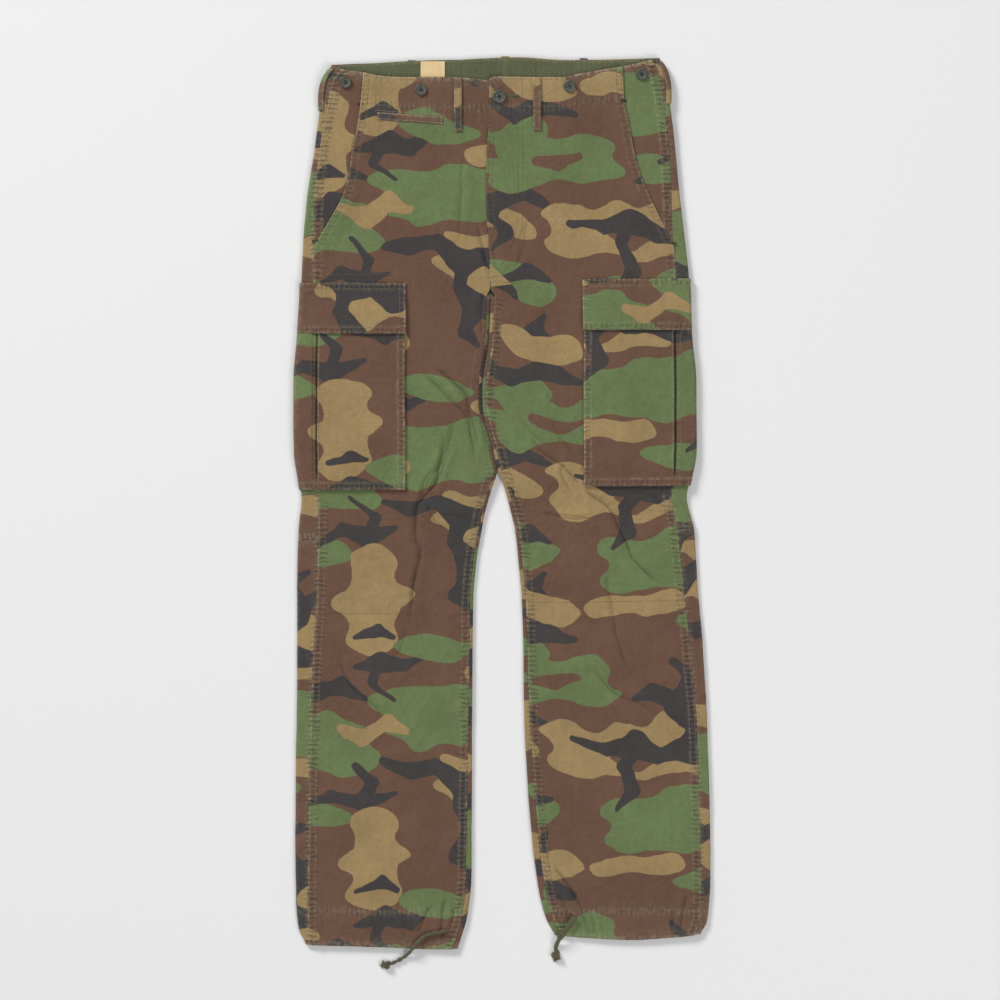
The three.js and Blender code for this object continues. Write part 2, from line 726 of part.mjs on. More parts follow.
function backPanel(half, name, from, to) {
  const rows = rowsOf(half, from, to);
  const outer = rows.map((row) => backRow(half, row, 0));
  const inner = rows.map((row) => backRow(half, row, -CLOTH));
  add(name, wall(outer, inner), PRINT);
}

// The cargo pocket: a patch that lies on the front, folds round the outer edge and runs on under the leg. Its middle
// has one inverted pleat.
const POCKET_UNDER = 62; // how far it reaches under the leg
const POCKET_WALL = CLOTH;
const POCKET_BULK = 0.6; // its turned edges make the face a little thicker
const POCKET_PUFF = 1.3;
const MOUTH_GAP = 0.5; // to the flap's lower edge, where the two butt at the side
const PLEAT_HALF = 3;
const PLEAT_DEPTH = 1;
const FLAP_LAP = 10;
const LAP_CLEAR = 25; // the lap under the flap ends this far from the outer edge
const LAP_RAMP = 15;
const LEAST_LAP = 0.02;

function pocketSections(half, read) {
  const edge = half.outerAt(read);
  const r = edgeRadius(half, edge - EDGE_SAMPLE, read);
  const quarter = (r * Math.PI) / 2;
  const onTop = (x) => quarter + (edge - r - x);
  const arc = Array.from({ length: EDGE_STEPS + 1 }, (_, i) => quarter * (1 - (2 * i) / EDGE_STEPS));
  const under = [1 / 3, 2 / 3, 1].map((t) => -quarter - t * POCKET_UNDER);
  return { edge, onTop, arc, under };
}

function cargoPocket(half) {
  const { front, bottom, flapBottom, pleat } = half.pocket;
  const mouth = flapBottom - MOUTH_GAP;
  const outer = [];
  const inner = [];
  for (const row of [...rowsOf(half, bottom, mouth), flapBottom + FLAP_LAP]) {
    const { edge, onTop, arc, under } = pocketSections(half, row);
    const lapStart = edge - LAP_CLEAR - LAP_RAMP;
    const pleatFolds = [-PLEAT_HALF - 1.5, -PLEAT_HALF, PLEAT_HALF, PLEAT_HALF + 1.5].map((step) => pleat + step);
    const across = [front, front + 2, front + 12, mix(front, lapStart, 0.5), lapStart - 4, ...pleatFolds];
    const top = [];
    const below = [];
    for (const way of [...across.map(onTop), ...arc, ...under]) {
      const at = outerSkin(half, way, row, 0).x;
      const onFace = way > 0 ? 1 : 0;
      const lap = Math.max(LEAST_LAP, onFace * (1 - smooth(lapStart, lapStart + LAP_RAMP, at)));
      const y = row > mouth ? mix(mouth, row, lap) : row;
      const middle = smooth(front, front + 30, at) * smooth(edge - 4, edge - 30, at);
      const ends = smooth(bottom, bottom + 30, row) * smooth(mouth, mouth - 40, row);
      const pleatDeep = smooth(PLEAT_HALF + 1.2, PLEAT_HALF, Math.abs(at - pleat)) * smooth(bottom + 8, bottom + 22, row);
      const inPleat = onFace * pleatDeep;
      const puff = POCKET_PUFF * middle * ends * onFace * (1 - inPleat);
      const bulk = POCKET_BULK * smooth(edge - 3, edge - 10, at) * onFace * (1 - inPleat);
      const thick = POCKET_WALL - inPleat * (POCKET_WALL - PLEAT_DEPTH);
      const low = outerSkin(half, way, y, SEAM_GAP + puff);
      const high = outerSkin(half, way, y, SEAM_GAP + puff + thick + bulk);
      below.push({ x: half.side * low.x, y, z: low.z });
      top.push({ x: half.side * high.x, y, z: high.z });
    }
    outer.push(top);
    inner.push(below);
  }
  add(`${half.name}_cargo_pocket`, wall(outer, inner), PRINT);
}

function cargoFlap(half) {
  const { front, flapBottom, flapTop } = half.pocket;
  const outer = [];
  const inner = [];
  const over = POCKET_WALL + 0.6 + SEAM_GAP; // rides over the pocket's mouth
  for (const row of rowsOf(half, flapBottom, flapTop)) {
    const { edge, onTop, arc, under } = pocketSections(half, row);
    const across = [front - 1, front + 4, front + 12, front + 36, mix(front, edge, 0.5), edge - 40, edge - 23, edge - 14, edge - 6];
    const ways = [...across.map(onTop), ...arc, ...under];
    const top = [];
    const below = [];
    for (const way of ways) {
      const at = outerSkin(half, way, row, 0).x;
      const overPocket = way > 0 ? (1 - smooth(edge - 22, edge - 7, at)) * smooth(flapTop - 6, flapBottom + FLAP_LAP + 2, row) : 0;
      const low = outerSkin(half, way, row, SEAM_GAP + over * overPocket);
      const high = outerSkin(half, way, row, SEAM_GAP + CLOTH + over * overPocket);
      below.push({ x: half.side * low.x, y: row, z: low.z });
      top.push({ x: half.side * high.x, y: row, z: high.z });
    }
    outer.push(top);
    inner.push(below);
  }
  add(`${half.name}_cargo_flap`, wall(outer, inner), PRINT);
}

const halfOf = (x, y) => (x > flyAt(y) ? LEFT : RIGHT);

// The height of the front's outer face at a real x and y
function frontTopZ(x, y) {
  const half = halfOf(x, y);
  const out = half.side * x;
  if (y > SLASH_END_Y && out > frontOuterAt(half, y)) return crownAt(half, out, y);
  return frontSkin(half, out, y) + reliefAt(half, out, y);
}

// A strip of cloth that lies on the front: its points are the panel's, moved out.
function stripOnFront(name, { length, width, steps, across, wallThickness, humpHeight, place, color = PRINT }) {
  const outer = [];
  const inner = [];
  for (let i = 0; i <= steps; i += 1) {
    const top = [];
    const under = [];
    for (let j = 0; j <= across; j += 1) {
      const { x, y } = place(mix(0, length, i / steps), mix(-width / 2, width / 2, j / across));
      const hump = humpHeight * Math.sin((Math.PI * i) / steps);
      const z = frontTopZ(x, y) + SEAM_GAP + hump;
      under.push({ x, y, z });
      top.push({ x, y, z: z + wallThickness });
    }
    outer.push(top);
    inner.push(under);
  }
  add(name, wall(outer, inner), color);
}

function frontLoops() {
  for (const loop of FRONT_LOOPS) {
    stripOnFront(loop.name, {
      length: loop.top - loop.bottom,
      width: LOOP_WIDTH,
      steps: 6,
      across: 2,
      wallThickness: LOOP_WALL,
      humpHeight: 1,
      place: (along, aside) => ({ x: loop.x + aside, y: loop.bottom + along }),
    });
  }
}

// The welt of the coin pocket, which slopes down towards the fly
function coinPocketWelt() {
  stripOnFront("coin_pocket_welt", {
    length: WELT.length,
    width: WELT.width,
    steps: 8,
    across: 2,
    wallThickness: THIN,
    humpHeight: 0,
    place: (along, aside) => ({
      x: WELT.x - WELT.length / 2 + along,
      y: WELT.y + (along - WELT.length / 2) * WELT.slope + aside,
    }),
  });
}

// The side belt loops bow out round the folded edge, so that a belt can pass.
const SIDE_LOOP = { fromTop: 5, length: 52, bow: 2.6, arc: 6.5 };

function sideLoop(half) {
  const outer = [];
  const inner = [];
  const steps = 8;
  const across = 6;
  const topY = half.outer[0].y - SIDE_LOOP.fromTop;
  for (let i = 0; i <= steps; i += 1) {
    const y = topY - (SIDE_LOOP.length * i) / steps;
    const bow = SIDE_LOOP.bow * Math.sin((Math.PI * i) / steps);
    const low = [];
    const high = [];
    for (let j = 0; j <= across; j += 1) {
      const way = mix(-SIDE_LOOP.arc, SIDE_LOOP.arc, j / across);
      const near = outerSkin(half, way, y, SEAM_GAP);
      const far = outerSkin(half, way, y, SEAM_GAP + LOOP_WALL);
      low.push({ x: half.side * (near.x + bow), y, z: near.z });
      high.push({ x: half.side * (far.x + bow), y, z: far.z });
    }
    inner.push(low);
    outer.push(high);
  }
  add(`belt_loop_side_${half.name}`, wall(outer, inner), PRINT);
}

// The back loops lie under the waist, on the table.
function backLoops() {
  for (const loop of BACK_LOOPS) {
    const length = loop.top - loop.bottom;
    const geometry = new THREE.BoxGeometry(LOOP_WIDTH, length, LOOP_WALL);
    geometry.translate(loop.x, loop.bottom + length / 2, LOOP_WALL / 2);
    add(loop.name, geometry, PRINT);
  }
}

// The facing inside the back of the waist, which shows above the front's top edge
function waistFacing() {
  const outer = [];
  const inner = [];
  const from = -(RIGHT.outer[0].x - FACING.ends);
  const to = LEFT.outer[0].x - FACING.ends;
  const columns = 16;
  for (let row = 0; row <= 2; row += 1) {
    const top = [];
    const under = [];
    for (let i = 0; i <= columns; i += 1) {
      const x = mix(from, to, i / columns);
      const half = x > centreAt(TOP_Y) ? LEFT : RIGHT;
      const y = half.backTopAt(half.side * x) - FACING.below - (FACING.depth * row) / 2;
      const z = WAIST_LIFT + STEP_UP;
      under.push({ x, y, z });
      top.push({ x, y, z: z + THIN });
    }
    outer.push(top);
    inner.push(under);
  }
  add("waist_facing", wall(outer, inner), OLIVE);
}

function waistLabel() {
  const top = RIGHT.backTopAt(-LABEL.left) - FACING.below - 0.5;
  const geometry = new THREE.BoxGeometry(LABEL.right - LABEL.left, top - LABEL.bottom, LABEL.wall);
  const z = WAIST_LIFT + STEP_UP + THIN + SEAM_GAP + LABEL.wall / 2;
  geometry.translate((LABEL.left + LABEL.right) / 2, (top + LABEL.bottom) / 2, z);
  add("waist_label", geometry, LABEL_CLOTH);
}

// A four-hole button with a raised rim: a turned blank with its holes cut through
const BUTTON_THICK = 2.8;
const HOLE = { radius: 0.9, from: 1.9 };

function solidOf(geometry) {
  const bare = geometry.clone();
  for (const name of ["normal", "uv"]) bare.deleteAttribute(name);
  const merged = mergeVertices(bare, 1e-4);
  return new manifold.Manifold(new manifold.Mesh({
    numProp: 3,
    vertProperties: merged.attributes.position.array,
    triVerts: new Uint32Array(merged.index.array),
  }));
}

function geometryOf(solid) {
  const mesh = solid.getMesh();
  const geometry = new THREE.BufferGeometry();
  geometry.setAttribute("position", new THREE.BufferAttribute(new Float32Array(mesh.vertProperties), 3));
  geometry.setIndex(new THREE.BufferAttribute(new Uint32Array(mesh.triVerts), 1));
  geometry.computeVertexNormals();
  return geometry;
}

function button({ name, x, y, diameter }) {
  const r = diameter / 2;
  const profile = [
    [0, 0], [r * 0.86, 0], [r, BUTTON_THICK * 0.4], [r * 0.96, BUTTON_THICK * 0.9], [r * 0.84, BUTTON_THICK],
    [r * 0.68, BUTTON_THICK * 0.86], [r * 0.62, BUTTON_THICK * 0.56], [0, BUTTON_THICK * 0.56],
  ].map(([radius, height]) => new THREE.Vector2(radius, height));
  const blank = new THREE.LatheGeometry(profile, 16).rotateX(Math.PI / 2);
  let solid = solidOf(blank);
  for (const [sx, sy] of [[1, 1], [1, -1], [-1, 1], [-1, -1]]) {
    const drill = new THREE.CylinderGeometry(HOLE.radius, HOLE.radius, BUTTON_THICK * 3, 6).rotateX(Math.PI / 2);
    drill.translate((sx * HOLE.from) / Math.SQRT2, (sy * HOLE.from) / Math.SQRT2, 0);
    solid = solid.subtract(solidOf(drill));
  }
  let seat = 0;
  for (let i = 0; i < 24; i += 1) {
    for (const reach of [0, r / 2, r]) {
      const angle = (i * Math.PI) / 12;
      seat = Math.max(seat, frontTopZ(x + reach * Math.cos(angle), y + reach * Math.sin(angle)));
    }
  }
  const mesh = add(name, geometryOf(solid), BUTTON, 0.45);
  mesh.position.set(x, y, seat + SEAM_GAP);
}

// The free ends of the hem drawcords: flat tape out of the casing, over the hem and down to the table, with a knot tied
// in its end
const TAPE = { width: 5, thick: 2.4, sides: 8, step: 6 };
const CORDS = [
  {
    name: "right_drawcord",
    route: [
      { x: -68.8, y: -531, z: 9.4 }, { x: -74, y: -532.2, z: 8.8 }, { x: -80, y: -533.2, z: 8.3 },
      { x: -86, y: -534.4, z: 8 }, { x: -92, y: -536, z: 8 }, { x: -98, y: -539, z: 8.3 },
      { x: -102.5, y: -542.6, z: 8.4 }, { x: -106, y: -546.6, z: 8.3 }, { x: -109, y: -550.6, z: 8 },
      { x: -111.8, y: -554.4, z: 7.3 }, { x: -114.6, y: -558, z: 5.4 }, { x: -118, y: -561.4, z: 3 },
      { x: -122, y: -564.4, z: 1.7 }, { x: -127, y: -567.4, z: 1.4 }, { x: -132, y: -570, z: 1.4 },
      { x: -137, y: -572.2, z: 1.5 }, { x: -142, y: -573.4, z: 2.2 },
    ],
    knot: { x: -143.5, y: -573.8, turn: 0.25 },
  },
  {
    name: "left_drawcord",
    route: [
      { x: 90.6, y: -513.5, z: 9.6 }, { x: 88.8, y: -516.6, z: 9.7 }, { x: 86.8, y: -519.8, z: 9.7 },
      { x: 84.6, y: -523, z: 9.7 }, { x: 82.4, y: -526.2, z: 9.6 }, { x: 80, y: -529.4, z: 9.5 },
      { x: 77.6, y: -532.6, z: 9.4 }, { x: 75.2, y: -535.8, z: 9.1 }, { x: 73, y: -539, z: 8.1 },
      { x: 71, y: -542.2, z: 6.5 }, { x: 69.3, y: -545.4, z: 4.6 }, { x: 68, y: -548.4, z: 2.9 },
      { x: 67.2, y: -551, z: 1.8 }, { x: 66.8, y: -554, z: 1.4 }, { x: 66.8, y: -557, z: 1.7 },
      { x: 66.9, y: -560, z: 2.3 },
    ],
    knot: { x: 67, y: -561.6, turn: -1.45 },
  },
];
const KNOT = { length: 12, width: 8.4, thick: 5.6 };

function drawcord({ name, route, knot }) {
  const path = new THREE.CatmullRomCurve3(route.map((p) => new THREE.Vector3(p.x, p.y, p.z)));
  const section = new THREE.Shape();
  section.absellipse(0, 0, TAPE.thick / 2, TAPE.width / 2, 0, Math.PI * 2);
  const tube = new THREE.ExtrudeGeometry(section, {
    extrudePath: path,
    steps: Math.round(path.getLength() / TAPE.step),
    curveSegments: TAPE.sides / 2,
    bevelEnabled: false,
  });
  const lump = new THREE.SphereGeometry(1, 10, 6);
  lump.scale(KNOT.length / 2, KNOT.width / 2, KNOT.thick / 2);
  lump.rotateZ(knot.turn);
  lump.translate(knot.x, knot.y, KNOT.thick / 2);
  add(name, geometryOf(solidOf(tube).add(solidOf(lump))), CORD);
}

for (const half of [RIGHT, LEFT]) {
  frontPanel(half);
  sidePanel(half);
  backPanel(half, `${half.name}_back_upper`, half.kneeSeamY + HALF_GAP, TOP_Y);
  backPanel(half, `${half.name}_back_lower`, HEM_Y, half.kneeSeamY - HALF_GAP);
  cargoPocket(half);
  cargoFlap(half);
  sideLoop(half);
}
frontLoops();
backLoops();
coinPocketWelt();
waistFacing();
waistLabel();
BUTTONS.forEach(button);
CORDS.forEach(drawcord);

export default group;
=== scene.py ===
"""Cargo trousers in printed ripstop cotton, laid flat with the front up.

Sizes are in millimetres until a mesh is made. +X is the wearer's left, +Y runs up to the waist, +Z is up, and the
table is z = 0. A half is measured outwards from the middle, so its x is the real x times its side.
"""

import math

import bpy
import numpy as np
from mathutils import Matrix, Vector
from mathutils.bvhtree import BVHTree


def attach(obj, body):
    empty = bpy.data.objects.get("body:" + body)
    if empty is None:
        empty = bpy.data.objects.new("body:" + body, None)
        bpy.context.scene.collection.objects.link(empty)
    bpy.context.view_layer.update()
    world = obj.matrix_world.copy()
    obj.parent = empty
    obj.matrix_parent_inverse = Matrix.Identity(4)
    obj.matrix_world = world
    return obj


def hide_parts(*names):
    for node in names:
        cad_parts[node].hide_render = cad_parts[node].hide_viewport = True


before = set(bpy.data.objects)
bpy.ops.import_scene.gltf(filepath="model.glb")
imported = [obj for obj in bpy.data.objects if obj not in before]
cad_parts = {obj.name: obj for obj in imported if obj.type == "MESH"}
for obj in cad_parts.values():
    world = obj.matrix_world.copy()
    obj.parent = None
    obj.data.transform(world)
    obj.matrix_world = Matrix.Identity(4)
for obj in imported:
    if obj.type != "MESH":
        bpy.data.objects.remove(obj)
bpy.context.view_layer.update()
MM = 0.001

# ---------------------------------------------------------------------------------------------------------------------
# Camera, table and light
# ---------------------------------------------------------------------------------------------------------------------
VIEW_WIDTH = 1.24  # metres of table across the picture
CAMERA_HEIGHT = 6.0
CLOTH_PLANE = 0.008
SENSOR = 36.0


def make_camera():
    data = bpy.data.cameras.new("camera")
    data.sensor_width = SENSOR
    data.lens = SENSOR * (CAMERA_HEIGHT - CLOTH_PLANE) / VIEW_WIDTH
    data.clip_end = 50
    camera = bpy.data.objects.new("camera", data)
    camera.location = (-0.0025, 0.0031, CAMERA_HEIGHT)
    bpy.context.scene.collection.objects.link(camera)
    bpy.context.scene.camera = camera


make_camera()


def link(obj):
    bpy.context.scene.collection.objects.link(obj)
    return obj


class Shader:
    """A material's node tree. node() makes a node, sets its properties, and fills its inputs with values or sockets."""

    def __init__(self, name):
        self.material = bpy.data.materials.new(name)
        self.material.use_nodes = True
        self.tree = self.material.node_tree
        self.tree.nodes.clear()
        self.surface = self.node("ShaderNodeBsdfPrincipled")
        output = self.tree.nodes.new("ShaderNodeOutputMaterial")
        self.tree.links.new(self.surface.outputs[0], output.inputs[0])

    def fill(self, socket, value):
        if isinstance(value, bpy.types.NodeSocket):
            self.tree.links.new(value, socket)
        elif isinstance(value, bpy.types.Node):
            self.tree.links.new(value.outputs[0], socket)
        else:
            socket.default_value = value

    def node(self, kind, inputs=None, **properties):
        made = self.tree.nodes.new(kind)
        for key, value in properties.items():
            setattr(made, key, value)
        for key, value in (inputs or {}).items():
            self.fill(made.inputs[key], value)
        return made

    def math(self, operation, a, b=0.0, c=0.0, clamp=False):
        made = self.tree.nodes.new("ShaderNodeMath")
        made.operation = operation
        made.use_clamp = clamp
        for socket, value in zip(made.inputs, (a, b, c)):
            self.fill(socket, value)
        return made.outputs[0]

    def mix(self, factor, a, b, blend="MIX"):
        return self.node("ShaderNodeMixRGB", {"Fac": factor, "Color1": a, "Color2": b}, blend_type=blend).outputs[0]

    def ramp(self, value, low, high, to_low=0.0, to_high=1.0):
        made = self.node("ShaderNodeMapRange", {"Value": value, "From Min": low, "From Max": high, "To Min": to_low,
                                                "To Max": to_high}, interpolation_type="SMOOTHSTEP")
        return made.outputs[0]

    def attribute(self, name):
        return self.node("ShaderNodeAttribute", attribute_name=name).outputs["Fac"]

    def place(self, scale=(1, 1, 1), turn=0.0):
        """Object coordinates, stretched and turned about the vertical"""
        coordinates = self.node("ShaderNodeTexCoord").outputs["Object"]
        return self.node("ShaderNodeMapping", {"Vector": coordinates, "Scale": scale,
                                               "Rotation": (0, 0, turn)}).outputs[0]

    def noise(self, scale, vector=None, detail=3.0, roughness=0.55):
        inputs = {"Vector": vector or self.place(), "Scale": scale, "Detail": detail, "Roughness": roughness}
        return self.node("ShaderNodeTexNoise", inputs).outputs["Fac"]

    def bump(self, height, distance, strength=1.0, normal=None):
        inputs = {"Height": height, "Distance": distance, "Strength": strength}
        if normal is not None:
            inputs["Normal"] = normal
        return self.node("ShaderNodeBump", inputs).outputs[0]

    def finish(self, color, roughness, normal=None, sheen=0.0, specular=0.3):
        self.fill(self.surface.inputs["Base Color"], color)
        self.fill(self.surface.inputs["Roughness"], roughness)
        self.surface.inputs["Sheen Weight"].default_value = sheen
        self.surface.inputs["Sheen Roughness"].default_value = 0.6
        self.surface.inputs["Specular IOR Level"].default_value = specular
        if normal is not None:
            self.fill(self.surface.inputs["Normal"], normal)
        return self.material


def tone(red, green, blue, gain=1.0):
    """A colour given as it looks on a screen, 0 to 255"""
    def linear(v):
        v = v / 255
        return v / 12.92 if v <= 0.04045 else ((v + 0.055) / 1.055) ** 2.4
    return (linear(red) * gain, linear(green) * gain, linear(blue) * gain, 1.0)


def table_finish():
    m = Shader("table_paper")
    grain = m.noise(900, detail=2)
    return m.finish(tone(231, 231, 231), 0.9, m.bump(grain, 0.0002, 0.1), specular=0.1)


def make_table():
    mesh = bpy.data.meshes.new("table")
    s = 5.0
    mesh.from_pydata([(-s, -s, -0.0004), (s, -s, -0.0004), (s, s, -0.0004), (-s, s, -0.0004)], [], [(0, 1, 2, 3)])
    mesh.materials.append(table_finish())
    table = link(bpy.data.objects.new("table", mesh))


make_table()


def softbox(name, place, size, power, aim=(0, 0, 0)):
    data = bpy.data.lights.new(name, "AREA")
    data.shape = "RECTANGLE"
    data.size, data.size_y = size
    data.energy = power
    light = link(bpy.data.objects.new(name, data))
    light.location = place
    light.rotation_euler = (Vector(aim) - Vector(place)).to_track_quat("-Z", "Y").to_euler()


softbox("key_light", (-4.6, 5.6, 3.8), (2.3, 2.3), 600)
softbox("fill_light", (3.4, -3.4, 4.4), (3.0, 3.0), 150)
softbox("top_light", (1.0, -0.9, 7.0), (4.0, 4.0), 70)
world = bpy.data.worlds.new("studio")
world.use_nodes = True
world.node_tree.nodes["Background"].inputs[0].default_value = (1, 1, 1, 1)
world.node_tree.nodes["Background"].inputs[1].default_value = 0.27
bpy.context.scene.world = world
bpy.context.scene.view_settings.view_transform = "Standard"
bpy.context.scene.view_settings.look = "None"

# ---------------------------------------------------------------------------------------------------------------------
# Small maths
# ---------------------------------------------------------------------------------------------------------------------


def smooth(low, high, value):
    t = np.clip((np.asarray(value, float) - low) / (high - low), 0, 1)
    return t * t * (3 - 2 * t)


def mix(a, b, t):
    return a + (b - a) * t


def curve(rows):
    """A smooth curve through (where, value) rows"""
    rows = sorted(rows)
    k = np.array([r[0] for r in rows], float)
    v = np.array([r[1] for r in rows], float)
    gap = np.diff(v) / np.diff(k)
    slope = np.zeros(len(k))
    for i in range(1, len(k) - 1):
        if gap[i - 1] * gap[i] > 0:
            slope[i] = 2 * gap[i - 1] * gap[i] / (gap[i - 1] + gap[i])
    slope[0], slope[-1] = gap[0], gap[-1]

    def at(where):
        where = np.clip(np.asarray(where, float), k[0], k[-1])
        i = np.clip(np.searchsorted(k, where, side="right") - 1, 0, len(k) - 2)
        h = k[i + 1] - k[i]
        t = (where - k[i]) / h
        return ((2 * t**3 - 3 * t**2 + 1) * v[i] + (t**3 - 2 * t**2 + t) * h * slope[i]
                + (3 * t**2 - 2 * t**3) * v[i + 1] + (t**3 - t**2) * h * slope[i + 1])
    return at


def polyline(rows):
    rows = sorted(rows)
    return lambda where: np.interp(where, [r[0] for r in rows], [r[1] for r in rows])


def value_noise(x, y, size, seed):
    """Soft noise from -1 to 1 with lumps of the given size"""
    rng = np.random.default_rng(seed)
    lattice = rng.uniform(-1, 1, (128, 128))
    u, v = np.asarray(x, float) / size + 40.3, np.asarray(y, float) / size + 37.7
    i, j = np.floor(u).astype(int), np.floor(v).astype(int)
    fu, fv = u - i, v - j
    fu, fv = fu * fu * (3 - 2 * fu), fv * fv * (3 - 2 * fv)
    a, b = lattice[i % 128, j % 128], lattice[(i + 1) % 128, j % 128]
    c, d = lattice[i % 128, (j + 1) % 128], lattice[(i + 1) % 128, (j + 1) % 128]
    return (a * (1 - fu) + b * fu) * (1 - fv) + (c * (1 - fu) + d * fu) * fv


def along_path(points):
    """Arc length at each of a path's points"""
    points = np.asarray(points, float)
    return np.concatenate([[0], np.cumsum(np.linalg.norm(np.diff(points, axis=0), axis=1))])


def smooth_path(points, step):
    """The path as a smooth curve, with points about a step apart"""
    p = np.asarray(points, float)
    s = along_path(p)
    count = max(2, int(round(s[-1] / step)) + 1)
    where = np.linspace(0, s[-1], count)
    ends = np.vstack([2 * p[0] - p[1], p, 2 * p[-1] - p[-2]])
    i = np.clip(np.searchsorted(s, where, side="right") - 1, 0, len(p) - 2)
    t = ((where - s[i]) / (s[i + 1] - s[i]))[:, None]
    a, b, c, d = ends[i], ends[i + 1], ends[i + 2], ends[i + 3]
    return 0.5 * (2 * b + (c - a) * t + (2 * a - 5 * b + 4 * c - d) * t**2 + (3 * b - a - 3 * c + d) * t**3)


# ---------------------------------------------------------------------------------------------------------------------
# Meshes
# ---------------------------------------------------------------------------------------------------------------------


def mesh_object(name, points, faces, material, smooth_faces=True):
    mesh = bpy.data.meshes.new(name)
    points = np.asarray(points, float) * MM
    mesh.from_pydata(points.tolist(), [], faces)
    if smooth_faces:
        mesh.polygons.foreach_set("use_smooth", [True] * len(mesh.polygons))
    mesh.materials.append(material)
    mesh.update()
    return link(bpy.data.objects.new(name, mesh))


def grid_object(name, grid, material, values=None, flip=False):
    """A sheet from a grid of points, grid[row][column], with a value for each of them under each attribute's name"""
    rows, columns = grid.shape[:2]
    index = np.arange(rows * columns).reshape(rows, columns)
    a, b, c, d = index[:-1, :-1], index[:-1, 1:], index[1:, 1:], index[1:, :-1]
    quads = np.stack([a, b, c, d] if not flip else [a, d, c, b], axis=-1).reshape(-1, 4)
    mesh = bpy.data.meshes.new(name)
    mesh.vertices.add(rows * columns)
    mesh.vertices.foreach_set("co", (grid.reshape(-1) * MM).astype(np.float32))
    mesh.loops.add(len(quads) * 4)
    mesh.loops.foreach_set("vertex_index", quads.reshape(-1).astype(np.int32))
    mesh.polygons.add(len(quads))
    mesh.polygons.foreach_set("loop_start", np.arange(0, len(quads) * 4, 4, dtype=np.int32))
    mesh.polygons.foreach_set("use_smooth", np.ones(len(quads), bool))
    mesh.update(calc_edges=True)
    mesh.validate()
    for key, value in (values or {}).items():
        layer = mesh.attributes.new(key, "FLOAT", "POINT")
        layer.data.foreach_set("value", np.broadcast_to(value, (rows, columns)).reshape(-1).astype(np.float32))
    mesh.materials.append(material)
    return link(bpy.data.objects.new(name, mesh))


RIM_OUT, RIM_TURN, RIM_DEPTH = 0.45, 0.6, 1.5


def turned_edge(grid, where, depth=RIM_DEPTH):
    """The sheet with one edge turned down: where is first_row, last_row, first_column or last_column"""
    work = grid if where.endswith("row") else grid.transpose(1, 0, 2)
    if where.startswith("first"):
        work = work[::-1]
    edge, inside = work[-1], work[-2]
    out = edge - inside
    out[:, 2] = 0
    length = np.maximum(np.linalg.norm(out, axis=1, keepdims=True), 1e-6)
    out = out / length * RIM_OUT
    turn = edge + out * 0.9 - np.array([0, 0, RIM_TURN])
    down = edge + out - np.array([0, 0, depth])
    work = np.concatenate([work, turn[None], down[None]])
    if where.startswith("first"):
        work = work[::-1]
    return work if where.endswith("row") else work.transpose(1, 0, 2)


def spread(values, edges):
    """The grid's values, repeated over the rows and columns that turned edges have added"""
    first_row, last_row, first_column, last_column = (2 * (e in edges) for e in
                                                      ("first_row", "last_row", "first_column", "last_column"))
    pad = ((first_row, last_row), (first_column, last_column))
    return {key: np.pad(value, pad, mode="edge") for key, value in values.items()}


def tube(path, width, thick, sides=12, twist=0.0, flat_start=0.0):
    """Points and faces of a closed oval tube along a path. twist is in turns over its length."""
    path = np.asarray(path, float)
    tangent = np.gradient(path, axis=0)
    tangent /= np.linalg.norm(tangent, axis=1, keepdims=True)
    share = along_path(path) / along_path(path)[-1]
    points, faces = [], []
    for i, (p, t) in enumerate(zip(path, tangent)):
        side = np.cross(t, (0, 0, 1))
        side /= max(np.linalg.norm(side), 1e-6)
        up = np.cross(side, t)
        turn = flat_start + 2 * math.pi * twist * share[i]
        across = side * math.cos(turn) + up * math.sin(turn)
        over = up * math.cos(turn) - side * math.sin(turn)
        w = width[i] if np.ndim(width) else width
        h = thick[i] if np.ndim(thick) else thick
        for j in range(sides):
            angle = 2 * math.pi * j / sides
            points.append(p + across * math.cos(angle) * w / 2 + over * math.sin(angle) * h / 2)
    last = len(path) - 1
    for i in range(last):
        for j in range(sides):
            k = (j + 1) % sides
            faces.append((i * sides + j, i * sides + k, (i + 1) * sides + k, (i + 1) * sides + j))
    faces.append(tuple(range(sides)))
    faces.append(tuple(last * sides + j for j in reversed(range(sides))))
    return points, [tuple(reversed(f)) for f in faces]


# ---------------------------------------------------------------------------------------------------------------------
# Drawcords
# ---------------------------------------------------------------------------------------------------------------------


def cord_finish(name, light, dark, ribs):
    """Woven cotton tape: fine slanting ribs, faded on the high threads"""
    m = Shader(name)
    ribbing = m.node("ShaderNodeTexWave", {"Vector": m.place(turn=0.6), "Scale": ribs, "Distortion": 1.5,
                                           "Detail": 1.0},
                     wave_type="BANDS").outputs["Fac"]
    fluff = m.noise(1600, detail=4)
    color = m.mix(m.ramp(fluff, 0.3, 0.75), dark, light)
    color = m.mix(m.math("MULTIPLY", ribbing, 0.35), color, tone(*(min(255, v * 1.25) for v in (110, 106, 76))))
    normal = m.bump(fluff, 0.0004, 0.6, m.bump(ribbing, 0.0006, 0.9))
    return m.finish(color, 0.95, normal, sheen=0.2, specular=0.15)


RIGHT_CORD_FINISH = cord_finish("olive_cord", tone(104, 100, 76), tone(62, 60, 44), 420)
LEFT_CORD_FINISH = cord_finish("olive_tape", tone(112, 110, 66), tone(74, 74, 38), 520)

